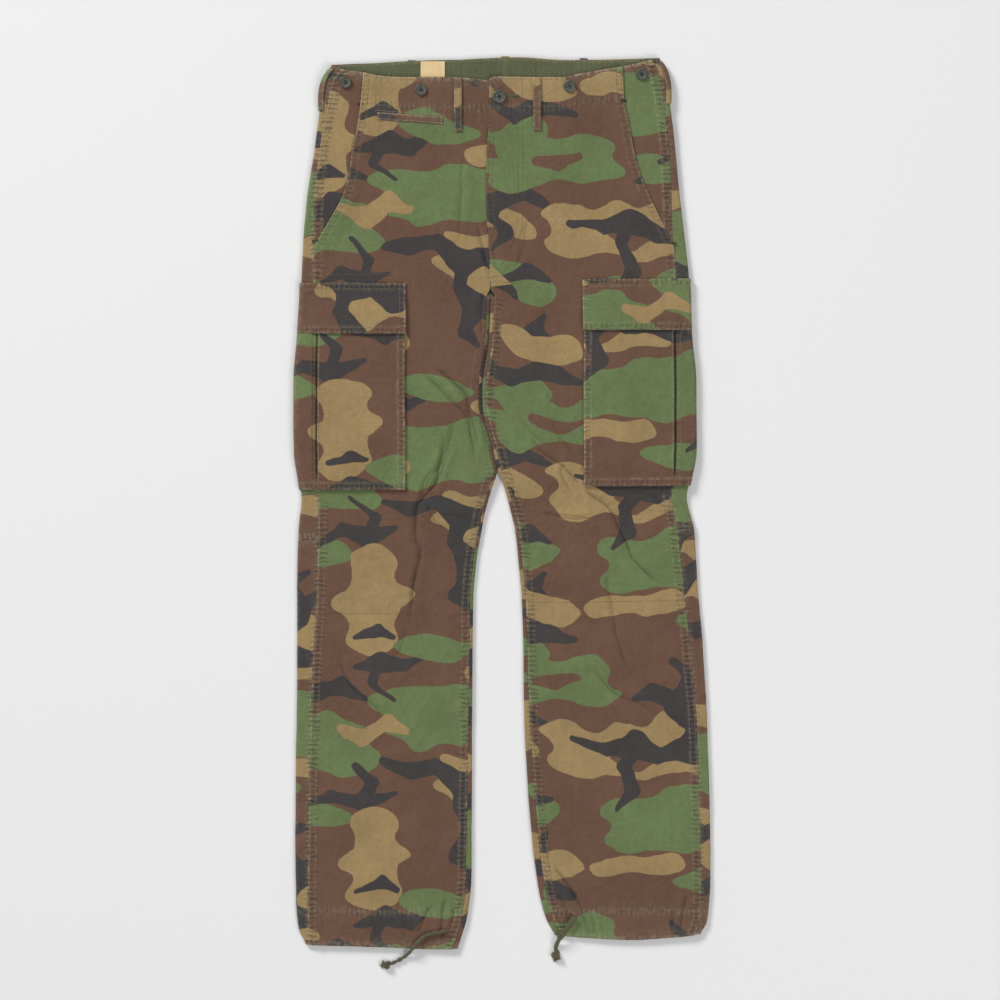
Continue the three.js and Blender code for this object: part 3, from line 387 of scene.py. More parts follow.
RIGHT_CORD = {
    "name": "right_drawcord", "width": 5.0, "thick": 3.2, "twist": 5.5, "finish": RIGHT_CORD_FINISH,
    "route": [(-68.8, -531, 9.4), (-74, -532.2, 8.8), (-80, -533.2, 8.3), (-86, -534.4, 8.0), (-92, -536, 8.0),
              (-98, -539, 8.3), (-102.5, -542.6, 8.4), (-106, -546.6, 8.3), (-109, -550.6, 8.0), (-111.8, -554.4, 7.3),
              (-114.6, -558, 5.4), (-118, -561.4, 3.0), (-122, -564.4, 1.9), (-127, -567.4, 1.7), (-132, -570, 1.7),
              (-137, -572.2, 1.8), (-142, -573.4, 2.2)],
    "knot": (-143.5, -573.8, 0.25), "knot_size": (13, 9.6, 6.2), "strand": 1.9,
}
LEFT_CORD = {
    "name": "left_drawcord", "width": 8.0, "thick": 2.0, "twist": 0.18, "finish": LEFT_CORD_FINISH,
    "route": [(90.6, -513.5, 9.6), (88.8, -516.6, 9.7), (86.8, -519.8, 9.7), (84.6, -523, 9.7), (82.4, -526.2, 9.6),
              (80, -529.4, 9.5), (77.6, -532.6, 9.4), (75.2, -535.8, 9.1), (73, -539, 8.1), (71, -542.2, 6.5),
              (69.3, -545.4, 4.6), (68, -548.4, 2.9), (67.2, -551, 1.8), (66.8, -554, 1.4), (66.8, -557, 1.7),
              (66.9, -560, 2.3)],
    "knot": (67, -561.6, -1.45), "knot_size": (13, 10.5, 6.2), "strand": 2.3,
}


def knot_path(center, turn, size, strand, count=72):
    """An overhand knot pulled tight, lying on the table"""
    a = np.linspace(0, 2 * math.pi, count, endpoint=False)
    x = np.sin(a) + 2 * np.sin(2 * a)
    y = np.cos(a) - 2 * np.cos(2 * a)
    z = -np.sin(3 * a)
    x, y = x / 3 * (size[0] / 2 - strand * 0.7), y / 3 * (size[1] / 2 - strand * 0.6)
    c, s = math.cos(turn), math.sin(turn)
    z = size[2] / 2 + z * (size[2] / 2 - strand * 0.75)
    return np.stack([center[0] + x * c - y * s, center[1] + x * s + y * c, z], axis=1)


def closed_tube(path, radius, sides=10):
    tangent = np.roll(path, -1, axis=0) - np.roll(path, 1, axis=0)
    tangent /= np.linalg.norm(tangent, axis=1, keepdims=True)
    points, faces, count = [], [], len(path)
    up = np.array([0.0, 0.0, 1.0])
    for p, t in zip(path, tangent):
        side = np.cross(t, up)
        side /= max(np.linalg.norm(side), 1e-6)
        over = np.cross(side, t)
        for j in range(sides):
            angle = 2 * math.pi * j / sides
            points.append(p + radius * (side * math.cos(angle) + over * math.sin(angle)))
    for i in range(count):
        for j in range(sides):
            k, n = (j + 1) % sides, (i + 1) % count
            faces.append((i * sides + j, n * sides + j, n * sides + k, i * sides + k))
    return points, faces


def frayed_end(rng, at, heading, length, count, radius=0.28):
    """Loose threads past a knot"""
    points, faces = [], []
    for _ in range(count):
        turn = heading + rng.uniform(-0.9, 0.9)
        reach = length * rng.uniform(0.5, 1.0)
        rise = rng.uniform(0.6, 3.2)
        bend = rng.uniform(-1.2, 1.2)
        path = [(at[0] + reach * t * math.cos(turn + bend * t), at[1] + reach * t * math.sin(turn + bend * t),
                 max(0.4, mix(rise, 0.5, t * t))) for t in np.linspace(0, 1, 6)]
        start = len(points)
        p, f = tube(path, radius * 2, radius * 2, sides=4)
        points += p
        faces += [tuple(start + i for i in face) for face in f]
    return points, faces


def make_cord(spec, seed):
    rng = np.random.default_rng(seed)
    path = smooth_path(spec["route"], 0.8)
    share = along_path(path) / along_path(path)[-1]
    width = spec["width"] * (1 - 0.10 * np.sin(share * 21) * smooth(0, 0.1, share))
    points, faces = tube(path, width, spec["thick"], 14, spec["twist"])
    points = [(p[0], p[1], max(p[2], 0.15)) for p in points]
    cord = mesh_object(spec["name"] + "_tape", points, faces, spec["finish"])
    x, y, turn = spec["knot"]
    points, faces = closed_tube(knot_path((x, y), turn, spec["knot_size"], spec["strand"]), spec["strand"])
    points = [tuple(p) for p in points]
    heading = turn + (math.pi if spec is RIGHT_CORD else 0)
    more, more_faces = frayed_end(rng, (x + 3 * math.cos(heading), y + 3 * math.sin(heading)), heading, 6.5, 16)
    faces += [tuple(len(points) + i for i in face) for face in more_faces]
    points = [(p[0], p[1], max(p[2], 0.15)) for p in points + [tuple(q) for q in more]]
    knot = mesh_object(spec["name"] + "_knot", points, faces, spec["finish"])
    for piece in (cord, knot):
        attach(piece, "root")
        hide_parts(spec["name"])


make_cord(RIGHT_CORD, 11)
make_cord(LEFT_CORD, 12)

# ---------------------------------------------------------------------------------------------------------------------
# Sizes of the cloth
# ---------------------------------------------------------------------------------------------------------------------
CLOTH = 1.8
SEAM_GAP = 0.3
HALF_GAP = SEAM_GAP / 2
STEP_UP = CLOTH + SEAM_GAP
TOP_Y, WAIST_Y, HEM_BEND_Y, HEM_Y = 554, 450, -480, -554
CROTCH_Y, FORK_DROP, FORK_EASE = 269, 16, 1.4
SLASH_END_Y, CASING_Y = 320, -508
EDGE_DIP, EDGE_DIP_WIDTH, EDGE_SAMPLE = 0.8, 25, 3
WAIST_LIFT = 1.8
FLY_LAP, FLY_RAMP, SLASH_LAP, SLASH_RAMP = 9, 38, 8, 32
FELL_HEIGHT, CASING_HEIGHT = 0.7, 0.5
POCKET_UNDER, POCKET_BULK, POCKET_PUFF = 62, 0.6, 1.5
PLEAT_HALF, MOUTH_GAP = 3, 0.5

stack_at = curve([(-554, 5.2), (-100, 5.4), (-10, 5.6), (30, 7.5), (270, 7.5), (320, 6.8), (420, 7.0), (490, 8.6),
                  (554, 8.6)])
centre_at = polyline([(554, -4), (450, -6), (320, -13), (288, -14), (253, -14), (193, -18), (166, -22.5), (144, -25),
                      (118, -24.6), (94, -20.6), (66, -12), (38, -5.6), (16, -4)])
fly_at = curve([(554, -15), (480, -16.5), (430, -19), (375, -19.5), (320, -16), (285, -14), (262, -14)])


class Half:
    """One half of the garment. outer, inner, outseam, inseam and slash are (y, x) rows; the edges are (x, y) rows."""

    def __init__(self, side, name, outer, inner, outseam, inseam, slash, front_top, back_top, hem, hem_mid, knee,
                 pocket):
        self.side, self.name, self.hem_mid, self.knee, self.pocket = side, name, hem_mid, knee, pocket
        self.top_y, self.parting = outer[0][0], inner[0][0]
        self.outer_at, self.inner_leg = curve(outer), curve(inner)
        self.outseam_at, self.inseam_at, self.slash_at = curve(outseam), curve(inseam), curve(slash)
        self.front_top_at, self.back_top_at, self.hem_at = curve(front_top), curve(back_top), curve(hem)

    def inner_at(self, y):
        return np.where(y < self.parting, self.inner_leg(y), self.side * centre_at(y) + SEAM_GAP)

    def edge_radius(self, x, y):
        return (self.crown_at(x, y) - self.underside_at(x, y)) / 2

    def pocket_zone(self, x, y):
        bottom, flap_top = self.pocket["bottom"], self.pocket["flap_top"]
        along = smooth(bottom - 24, bottom - 3, y) * smooth(flap_top + 24, flap_top + 3, y)
        return along * smooth(-120, -70, x - self.outer_at(y))

    def underside_at(self, x, y):
        return WAIST_LIFT * smooth(432, 462, y) + STEP_UP * self.pocket_zone(x, y)

    def crown_at(self, x, y):
        to_outer = np.exp(-np.maximum(0, self.outer_at(y) - x) / EDGE_DIP_WIDTH)
        to_inner = np.exp(-np.maximum(0, x - self.inner_at(y)) / EDGE_DIP_WIDTH) * wrap_at(y)
        return stack_at(y) - EDGE_DIP * (to_outer + to_inner)

    def front_outer_at(self, y):
        return np.where(y > SLASH_END_Y, self.slash_at(y), self.outer_at(y) - self.outseam_at(y) - HALF_GAP)

    def front_inner_at(self, y):
        lap = FLY_LAP * smooth(290, 310, y) if self.side < 0 else 0.0
        fly = self.side * fly_at(y) - lap
        butt = self.side * centre_at(y) + HALF_GAP
        above = mix(butt, fly, smooth(272, 292, y))
        seam = self.inner_at(y) + self.inseam_at(y) + HALF_GAP
        turn = wrap_at(y)
        return mix(above, seam, smooth(0.35, 1, turn)) + FORK_EASE * np.sin(math.pi * turn)

    def overlap_at(self, x, y):
        slash = smooth(298, 316, y) * (1 - smooth(SLASH_LAP + 2, SLASH_RAMP, self.front_outer_at(y) - x))
        fly = 0.0
        if self.side > 0:
            fly = smooth(262, 284, y) * (1 - smooth(FLY_LAP + 2, FLY_RAMP, x - self.front_inner_at(y)))
        return STEP_UP * np.maximum(slash, fly)

    def clear_of_pocket(self, y):
        return 1 - smooth(self.pocket["bottom"] - 10, self.pocket["bottom"] - 4, y) * smooth(
            self.pocket["flap_top"] + 10, self.pocket["flap_top"] + 4, y)

    def relief_at(self, x, y):
        seam_in = self.outer_at(y) - self.outseam_at(y) - x
        below_slash = smooth(SLASH_END_Y - 22, SLASH_END_Y - 26, y)
        outseam = below_slash * smooth(0.4, 1.6, seam_in) * smooth(11, 9.4, seam_in) * self.clear_of_pocket(y)
        inseam_in = x - self.inner_at(y) - self.inseam_at(y)
        inseam = wrap_at(y) * smooth(0.4, 1.6, inseam_in) * smooth(10, 8.4, inseam_in)
        return FELL_HEIGHT * np.maximum(outseam, inseam) + CASING_HEIGHT * smooth(CASING_Y + 2, CASING_Y - 2, y)

    def row_y(self, row, x, on_top):
        edge = np.where(on_top, self.front_top_at(x), self.back_top_at(x))
        high = mix(WAIST_Y, edge, (row - WAIST_Y) / (TOP_Y - WAIST_Y))
        low = mix(HEM_BEND_Y, self.hem_at(x), (row - HEM_BEND_Y) / (HEM_Y - HEM_BEND_Y))
        return np.where(row > WAIST_Y, high, np.where(row < HEM_BEND_Y, low, row))

    def read_y(self, row):
        high = mix(WAIST_Y, self.top_y, (row - WAIST_Y) / (TOP_Y - WAIST_Y))
        low = mix(HEM_BEND_Y, self.hem_mid, (row - HEM_BEND_Y) / (HEM_Y - HEM_BEND_Y))
        return np.where(row > WAIST_Y, high, np.where(row < HEM_BEND_Y, low, row))

    def outer_skin(self, way, y, lift):
        """x and z round the outer edge; way is measured round the section from its outermost point, positive on top"""
        edge = self.outer_at(y)
        r = self.edge_radius(edge - EDGE_SAMPLE, y)
        quarter = r * math.pi / 2
        middle = self.underside_at(edge - EDGE_SAMPLE, y) + r
        angle = way / r
        x_flat = edge - r - (np.abs(way) - quarter)
        z_flat = np.where(way > 0, self.crown_at(x_flat, y) + lift, self.underside_at(x_flat, y) - lift)
        on_arc = np.abs(way) <= quarter
        return (np.where(on_arc, edge - r + (r + lift) * np.cos(angle), x_flat),
                np.where(on_arc, middle + (r + lift) * np.sin(angle), z_flat))

    def inner_skin(self, way, y, lift):
        wrap = wrap_at(y)
        inner = self.inner_at(y)
        r = self.edge_radius(inner + EDGE_SAMPLE, y)
        turned = np.minimum(math.pi / 2, wrap * math.pi)
        edge = inner - (1 - np.sin(turned)) * (r + HALF_GAP)
        x_under = edge + r - way
        angle = way / r - math.pi / 2
        middle = self.underside_at(edge + EDGE_SAMPLE, y) + r
        x_top = edge + r + way - math.pi * r
        x = np.where(way <= 0, x_under, np.where(way <= math.pi * r, edge + r - (r + lift) * np.cos(angle), x_top))
        z = np.where(way <= 0, self.underside_at(x_under, y) - lift,
                     np.where(way <= math.pi * r, middle + (r + lift) * np.sin(angle), self.crown_at(x_top, y) + lift))
        return x, z


def wrap_at(y):
    return smooth(CROTCH_Y, CROTCH_Y - FORK_DROP, y)


RIGHT = Half(
    -1, "right",
    outer=[(543, 211.5), (523, 221), (486, 226.5), (436, 233.5), (374, 242.5), (312, 247.5), (269, 249.5), (213, 252),
           (151, 256.4), (64, 256), (27, 251.5), (5, 248.7), (-35, 252.3), (-72, 253.5), (-270, 254.8), (-370, 256.4),
           (-456, 256), (-500, 255), (-531, 252), (-549, 244)],
    inner=[(38, 5.9), (17, 13), (-10, 20.5), (-35, 25.4), (-72, 31.6), (-121, 35.3), (-171, 36.6), (-456, 37.8),
           (-490, 40), (-516, 44), (-531, 48.5), (-549, 54)],
    outseam=[(543, 11), (490, 9), (437, 6.5), (397, 8), (358, 10.5), (301, 14), (2, 21), (-55, 25), (-121, 24),
             (-181, 20), (-291, 17), (-414, 16), (-507, 13.6), (-549, 8)],
    inseam=[(256, 4), (-171, 4), (-370, 6), (-456, 7), (-549, 6)],
    slash=[(543, 172), (486, 177), (457, 182), (434, 186.5), (404, 191), (377, 199.5), (362, 208), (339, 221),
           (318, 233)],
    front_top=[(-4, 521.5), (15, 522.5), (35, 525), (59, 526.5), (120, 527), (156, 529.5), (172, 533), (200, 537),
               (211.5, 543)],
    back_top=[(3, 552), (64, 549), (112, 548), (170, 545), (211.5, 543)],
    hem=[(54, -553.5), (80, -554), (150, -551.5), (244, -548.5)],
    hem_mid=-551, knee=-46,
    pocket={"front": 121, "bottom": 16, "flap_bottom": 210, "flap_top": 272, "pleat": 232},
)
LEFT = Half(
    1, "left",
    outer=[(551.5, 195.3), (536, 202.5), (523, 205), (486, 209), (436, 215), (374, 221.5), (312, 228.8), (269, 231.9),
           (213, 233.5), (151, 238.5), (64, 239), (27, 234), (6, 229.5), (-10, 232.5), (-35, 238.7), (-72, 241),
           (-121, 244), (-171, 248.4), (-221, 251.4), (-270, 254.5), (-320, 256.2), (-419, 258.5), (-456, 258.5),
           (-500, 256.7), (-524, 253.5), (-537, 247)],
    inner=[(38, -5.3), (17, 3), (-10, 10.5), (-35, 16.7), (-72, 20.5), (-121, 24.6), (-171, 26), (-270, 28),
           (-320, 30.4),
           (-370, 33.6), (-419, 37.4), (-456, 41.5), (-490, 47), (-516, 54), (-539, 66)],
    outseam=[(551, 9), (485, 7.5), (437, 8), (396, 9.5), (324, 15), (13, 19.5), (-41, 20.5), (-108, 17.4), (-197, 15.5),
             (-291, 12.8), (-455, 12), (-517, 9), (-539, 8)],
    inseam=[(256, 4.5), (-171, 5), (-320, 8), (-456, 8.5), (-539, 9)],
    slash=[(551, 150), (500, 151.5), (485, 154.5), (453, 160), (428, 165), (404, 173), (381, 182.5), (341, 202),
           (318, 213.5)],
    front_top=[(-16, 524.5), (-8, 527.5), (72, 527), (97, 532), (118, 535.5), (146, 540), (184, 548), (195.3, 551.5)],
    back_top=[(-3, 552), (20, 552.5), (72, 549.5), (159, 550.5), (195.3, 551.5)],
    hem=[(66, -536.5), (101, -539.5), (159, -542), (221, -538.5), (247, -535)],
    hem_mid=-539, knee=-32,
    pocket={"front": 101.7, "bottom": 21, "flap_bottom": 214, "flap_top": 277, "pleat": 216.5},
)

# ---------------------------------------------------------------------------------------------------------------------
# Creases
# ---------------------------------------------------------------------------------------------------------------------
# Each crease is a trough beside a low ridge, along its points: the trough's depth, the ridge's height, the trough's
# half width, the hand that the ridge is on (left of its direction 1, right -1), and its points
CREASES = [
    (2.6, 1.7, 5.0, 1, [(-97, 160), (-65, 129), (-45, 106), (-37, 74), (-33, 42)]),  # right thigh to knee
    # right knee, long
    (2.2, 1.5, 4.2, -1, [(-71, 92), (-77, 50), (-83, 24), (-97, 5), (-105, -6), (-108, -48), (-103, -63),
                         (-110, -112), (-117, -155)]),
    (1.2, 0.9, 3.6, 1, [(-64, 72), (-72, 50), (-78, 30)]),  # right knee, short upper
    (0.9, 0.7, 3.6, 1, [(-98, 1), (-84, -12), (-60, -16), (-40, -22)]),  # right knee, cross
    (1.6, 1.5, 4.6, 1, [(-204, -190), (-190, -225), (-162, -251), (-143, -266)]),  # right shin
    (0.8, 0.7, 5, -1, [(-118, -158), (-126, -180), (-140, -202)]),  # right shin, inner
    (1.1, 1.0, 5, 1, [(-49, 430), (-52, 372), (-55, 312)]),  # right seat
    (1.7, 1.1, 3.6, 1, [(-31, 345), (-23, 312), (-17, 284)]),  # fork, right long
    (1.2, 0.8, 3.0, -1, [(-24, 312), (-17, 290), (-13, 276)]),  # fork, right short
    (1.4, 0.9, 3.6, -1, [(-22, 262), (-28, 236), (-26, 205)]),  # fork, below
    (1.2, 1.0, 4.5, -1, [(-60, 150), (-42, 128), (-32, 116)]),  # right thigh, inner
    # right thigh, into the fork
    (2.4, 1.6, 4.2, 1, [(-86, 172), (-62, 150), (-44, 132), (-40, 108), (-33, 80), (-31, 60)]),
    (1.6, 1.2, 4.0, -1, [(-60, 106), (-64, 84), (-74, 52), (-92, 28), (-99, 8), (-92, -4)]),  # right knee, hook
    (1.2, 1.1, 3.6, 1, [(-86, 40), (-96, 26), (-102, 8)]),  # right knee, hook side
    (1.0, 0.9, 4.0, -1, [(-94, -4), (-80, -28), (-66, -34)]),  # right knee, inner side
    # left thigh, long
    (2.4, 1.6, 4.4, 1, [(33, 88), (46, 66), (75, 43), (98, 20), (118, 4), (136, -12), (150, -42), (163, -69),
                        (187, -94), (217, -108)]),
    (1.2, 0.9, 3.8, -1, [(129, -84), (134, -120), (139, -150), (144, -172), (156, -216)]),  # left knee, middle
    (1.5, 1.4, 4.6, 1, [(113, -207), (132, -230), (147, -240), (170, -250), (190, -258)]),  # left shin
    (1.1, 0.9, 3.6, 1, [(154, 14), (180, 9), (198, -3), (210, -14)]),  # left knee, side
    (1.5, 1.1, 3.0, -1, [(80, 48), (73, 38), (76, 27), (84, 14)]),  # left knee, hook
    (0.9, 0.8, 3.4, 1, [(50, -10), (64, -16), (90, -19), (112, -20)]),  # left knee, low cross
    (1.0, 0.8, 4.0, 1, [(20, 104), (40, 82), (58, 70)]),  # left thigh, upper
    (0.9, 0.7, 4.0, -1, [(60, 100), (78, 74), (92, 52)]),  # left thigh, outer
    (0.8, 0.8, 4.0, -1, [(30, 352), (28, 318), (16, 286)]),  # fly, lower
    (2.2, 1.6, 3.2, 1, [(64, -452), (76, -468), (88, -484), (100, -510), (108, -528)]),  # left hem, gather inner
    (1.9, 1.3, 3.0, 1, [(68, -484), (78, -504), (88, -526)]),  # left hem, gather corner
    (1.5, 1.0, 2.4, 1, [(96, -512), (104, -526), (110, -538)]),  # left hem, edge 1
    (1.3, 0.9, 2.4, -1, [(108, -508), (113, -522), (114, -538)]),  # left hem, edge 2
    (0.9, 0.7, 2.6, 1, [(122, -512), (124, -536)]),  # left hem, edge 3
    (1.6, 1.2, 3.0, -1, [(231, -486), (225, -505), (220, -534)]),  # left hem, outer 1
    (1.2, 0.9, 2.6, 1, [(214, -506), (211, -522), (210, -538)]),  # left hem, outer 2
    (1.0, 0.7, 2.4, 1, [(239, -500), (236, -520), (238, -534)]),  # left hem, outer 3
    (1.4, 1.0, 3.0, -1, [(-86, -500), (-97, -518), (-104, -536)]),  # right hem, gather 1
    (1.6, 1.1, 2.8, 1, [(-70, -488), (-74, -516), (-76, -546)]),  # right hem, gather 2
    (1.3, 0.9, 2.6, -1, [(-58, -498), (-62, -522), (-62, -548)]),  # right hem, gather 3
    (0.9, 0.7, 3.0, 1, [(-120, -510), (-122, -544)]),  # right hem, gather 4
    (0.8, 0.7, 3.2, 1, [(-226, -506), (-222, -528), (-224, -546)]),  # right hem, outer
]


def to_paths(x, y, path):
    """Distance from a path, which side of it, and how far along it as a share, for arrays of points"""
    path = np.asarray(path, float)
    best = np.full(np.shape(x), 1e9)
    hand, share = np.zeros(np.shape(x)), np.zeros(np.shape(x))
    reach = along_path(path)
    for i in range(len(path) - 1):
        ax, ay = path[i, :2]
        dx, dy = path[i + 1, :2] - path[i, :2]
        length = math.hypot(dx, dy)
        t = np.clip(((x - ax) * dx + (y - ay) * dy) / length**2, 0, 1)
        px, py = x - (ax + t * dx), y - (ay + t * dy)
        d = np.hypot(px, py)
        near = d < best
        best = np.where(near, d, best)
        hand = np.where(near, np.sign(dx * py - dy * px), hand)
        share = np.where(near, (reach[i] + t * length) / reach[-1], share)
    return best, hand, share


def creases_at(x, y):
    """Height that the creases add, in millimetres, and how much painted shade darkens each point along a crease's
    trough, from 0 to 1, at real x and y
    """
    rise, fold = np.zeros(np.broadcast(x, y).shape), np.zeros(np.broadcast(x, y).shape)
    x, y = np.broadcast_to(x, rise.shape), np.broadcast_to(y, rise.shape)
    for number, (depth, ridge, width, hand, corners) in enumerate(CREASES):
        path = smooth_path([(*p, 0) for p in corners], 6)[:, :2]
        low, high = path.min(0) - width * 7, path.max(0) + width * 7
        near = (x > low[0]) & (x < high[0]) & (y > low[1]) & (y < high[1])
        if not near.any():
            continue
        px = x[near] + 1.4 * value_noise(x[near], y[near], 19, 300 + number)
        py = y[near] + 1.4 * value_noise(x[near], y[near], 19, 340 + number)
        away, side, share = to_paths(px, py, path)
        fade = smooth(0, 0.14, share) * smooth(1, 0.82, share)
        fade = fade * (0.78 + 0.22 * value_noise(px, py, 26, 380 + number))
        signed = away * side * hand / width
        end = np.exp(-(np.maximum(0, away - width * 3) / 12) ** 2)
        trough = -depth * (0.62 * np.exp(-(away / 1.5) ** 2) + 0.55 * np.exp(-(signed / 0.85) ** 2))
        crest = ridge * np.exp(-((signed - 1.7) / 1.2) ** 2) + 0.5 * ridge * np.exp(-((signed + 2.2) / 1.5) ** 2)
        rise[near] += (trough + crest) * fade * end
        # painted shade along the crease's trough, strongest on its line and for deep creases
        fold[near] = np.maximum(fold[near], np.exp(-(away / 1.05) ** 2) * fade * min(1.0, depth / 2.2))
    return rise, fold


def ripple_at(x, y):
    """The soft unevenness of washed cloth that lies flat"""
    return (0.62 * value_noise(x + 0.35 * y, y, 92, 21) + 0.40 * value_noise(x, y + 0.2 * x, 47, 22)
            + 0.24 * value_noise(x - 0.3 * y, y, 21, 23) + 0.10 * value_noise(x, y, 9.5, 24))


def drift(x, y, along_x):
    """How far an edge wanders sideways"""
    return 0.55 * value_noise(x, y, 64, 31 if along_x else 32) + 0.22 * value_noise(x, y, 22, 33 if along_x else 34)


def settle(grid, top_share=1.0, creased=0.0):
    """The pieces as they come to lie: the same small drift for all, and ripples on what faces up"""
    x, y, z = grid[..., 0], grid[..., 1], grid[..., 2]
    facing_up = smooth(1.6, 4.4, z) * top_share
    out = grid.copy()
    out[..., 0] += drift(x, y, True)
    out[..., 1] += drift(x, y, False)
    out[..., 2] += ripple_at(x, y) * facing_up + creased
    return out

# ---------------------------------------------------------------------------------------------------------------------
# Camouflage print
# ---------------------------------------------------------------------------------------------------------------------
# The cloth is brown, and green, khaki and black are printed on it in one small repeat of a plain woodland kind, drawn
# for this piece. A patch is an outline of (x, y) corners, and a branch a run of (x, y, half width) points. They are
# painted in order, so a later one covers an earlier one. Every other column is turned round and drops half a repeat.
REPEAT_WIDE, REPEAT_TALL = 318, 322
DRAWN = 1.5  # mm on the cloth for each unit of the drawing
SWAY = (8.0, 7.0, 46)  # how far the print wanders along x and y, and the size of its waves
FRAY = (1.8, 1.5, 13)  # the same for the small unevenness of its edges
GREEN, KHAKI, BLACK, BROWN = "green", "khaki", "black", "brown"
CAMOUFLAGE = [
    (GREEN, [(-118, 78), (-92, 92), (-60, 86), (-38, 97), (-8, 90), (22, 96), (44, 82), (30, 70), (48, 58), (26, 46),
             (-2, 52), (-20, 38), (-48, 44), (-70, 34), (-84, 48), (-104, 52), (-98, 64)]),
    (GREEN, [(14, -38), (48, -24), (84, -34), (112, -20), (134, -36), (118, -50), (128, -68), (98, -74), (74, -60),
             (50, -72), (26, -60), (34, -48)]),
    (GREEN, [(-92, -88), (-66, -78), (-38, -84), (-14, -96), (-44, -106), (-72, -101)]),
    (GREEN, [(70, 60), (86, 74), (108, 66), (118, 48), (98, 42), (84, 50)]),
    (KHAKI, [(-52, 36), (-22, 26), (4, 36), (34, 28), (60, 37), (88, 22), (72, 8), (92, -8), (64, -14), (44, -2),
             (24, -18), (2, -8), (-14, -26), (-34, -16), (-42, 2), (-62, 10), (-46, 20)]),
    (KHAKI, [(-132, -18), (-104, -6), (-80, -20), (-92, -38), (-68, -52), (-94, -66), (-112, -52), (-132, -60),
             (-122, -38)]),
    (KHAKI, [(50, 112), (84, 122), (112, 110), (128, 90), (104, 86), (90, 98), (66, 94)]),
    (KHAKI, [(-34, -108), (-8, -100), (18, -106), (44, -98), (56, -112), (30, -122), (2, -116), (-20, -124)]),
    (KHAKI, [(-112, 52, 4), (-96, 60, 7), (-80, 54, 4)]),
    (BROWN, [(-4, 14, 3), (12, 20, 6), (30, 14, 3)]),
    (BROWN, [(58, -48, 3), (74, -44, 6), (92, -50, 4)]),
    (BLACK, [(-98, 28, 3), (-76, 21, 7), (-54, 25, 5), (-32, 10, 10), (-8, 13, 6), (12, 2, 11), (36, 9, 5),
             (62, 1, 2)]),
    (BLACK, [(-32, 10, 8), (-38, -8, 5), (-25, -27, 11), (-35, -46, 6), (-20, -60, 3)]),
    (BLACK, [(-25, -27, 7), (-4, -38, 6), (10, -33, 2)]),
    (BLACK, [(12, 2, 7), (22, 22, 5), (13, 42, 7), (28, 58, 2)]),
    (BLACK, [(62, -84, 3), (88, -91, 9), (110, -83, 6), (130, -96, 3)]),
    (BLACK, [(88, -91, 7), (80, -108, 5), (94, -122, 7), (84, -136, 2)]),
    (BLACK, [(-122, 104, 2), (-98, 112, 8), (-76, 107, 5), (-56, 117, 2)]),
    (BLACK, [(-98, 112, 6), (-104, 94, 4), (-90, 80, 2)]),
    (BLACK, [(82, 52, 2), (102, 47, 6), (124, 56, 2)]),
    (BLACK, [(-120, -82, 2), (-102, -76, 5), (-88, -82, 2)]),
]


def rounded(corners, times=2):
    """An outline with its corners cut off"""
    for _ in range(times):
        ends = zip(corners, corners[1:] + corners[:1])
        corners = [(mix(ax, bx, t), mix(ay, by, t)) for (ax, ay), (bx, by) in ends for t in (0.25, 0.75)]
    return corners


PRINT = [(color, [tuple(DRAWN * v for v in p) for p in (rounded(points) if len(points[0]) == 2 else points)])
         for color, points in CAMOUFLAGE]
# Where each piece is cut from the roll
FRONT_START, SIDE_START, BACK_START = (0, 40), (62, 118), (104, 12)
POCKET_START, FLAP_START, STRIP_START = (38, 150), (150, 72), (20, 60)
OTHER_HALF = (137, 91)  # the left half's pieces lie this much further along


def inside(x, y, corners):
    within = np.zeros(x.shape, bool)
    for (ax, ay), (bx, by) in zip(corners, corners[1:] + corners[:1]):
        if ay == by:
            continue
        crosses = (ay > y) != (by > y)
        within ^= crosses & (x < (bx - ax) * (y - ay) / (by - ay) + ax)
    return within


def to_shape(x, y, points):
    """Distance to a printed shape, negative inside it"""
    if len(points[0]) == 2:
        away = np.full(x.shape, 1e9)
        for (ax, ay), (bx, by) in zip(points, points[1:] + points[:1]):
            dx, dy = bx - ax, by - ay
            t = np.clip(((x - ax) * dx + (y - ay) * dy) / (dx * dx + dy * dy), 0, 1)
            away = np.minimum(away, np.hypot(x - ax - t * dx, y - ay - t * dy))
        return np.where(inside(x, y, points), -away, away)
    blend = 4.0
    away = np.full(x.shape, 60.0)
    for (ax, ay, ar), (bx, by, br) in zip(points[:-1], points[1:]):
        dx, dy = bx - ax, by - ay
        t = np.clip(((x - ax) * dx + (y - ay) * dy) / max(dx * dx + dy * dy, 1e-9), 0, 1)
        d = np.hypot(x - ax - t * dx, y - ay - t * dy) - mix(ar, br, t)
        h = np.clip(0.5 + 0.5 * (away - d) / blend, 0, 1)
        away = mix(away, d, h) - blend * h * (1 - h)
    return away


REACH = 22.0


def paint(layers, x, y, color_shapes, offset, turn):
    """Prints the shapes over layers, which hold each colour's distance at every point"""
    for color, points in color_shapes:
        moved = [(turn * p[0] + offset[0], turn * p[1] + offset[1], *p[2:]) for p in points]
        xs, ys = [p[0] for p in moved], [p[1] for p in moved]
        edge = REACH + max((p[2] for p in moved if len(p) > 2), default=0)
        near = (x > min(xs) - edge) & (x < max(xs) + edge) & (y > min(ys) - edge) & (y < max(ys) + edge)
        if not near.any():
            continue
        d = np.clip(to_shape(x[near], y[near], moved), -REACH, REACH)
        for name in layers:
            old = layers[name][near]
            layers[name][near] = np.minimum(old, d) if name == color else np.maximum(old, -d)


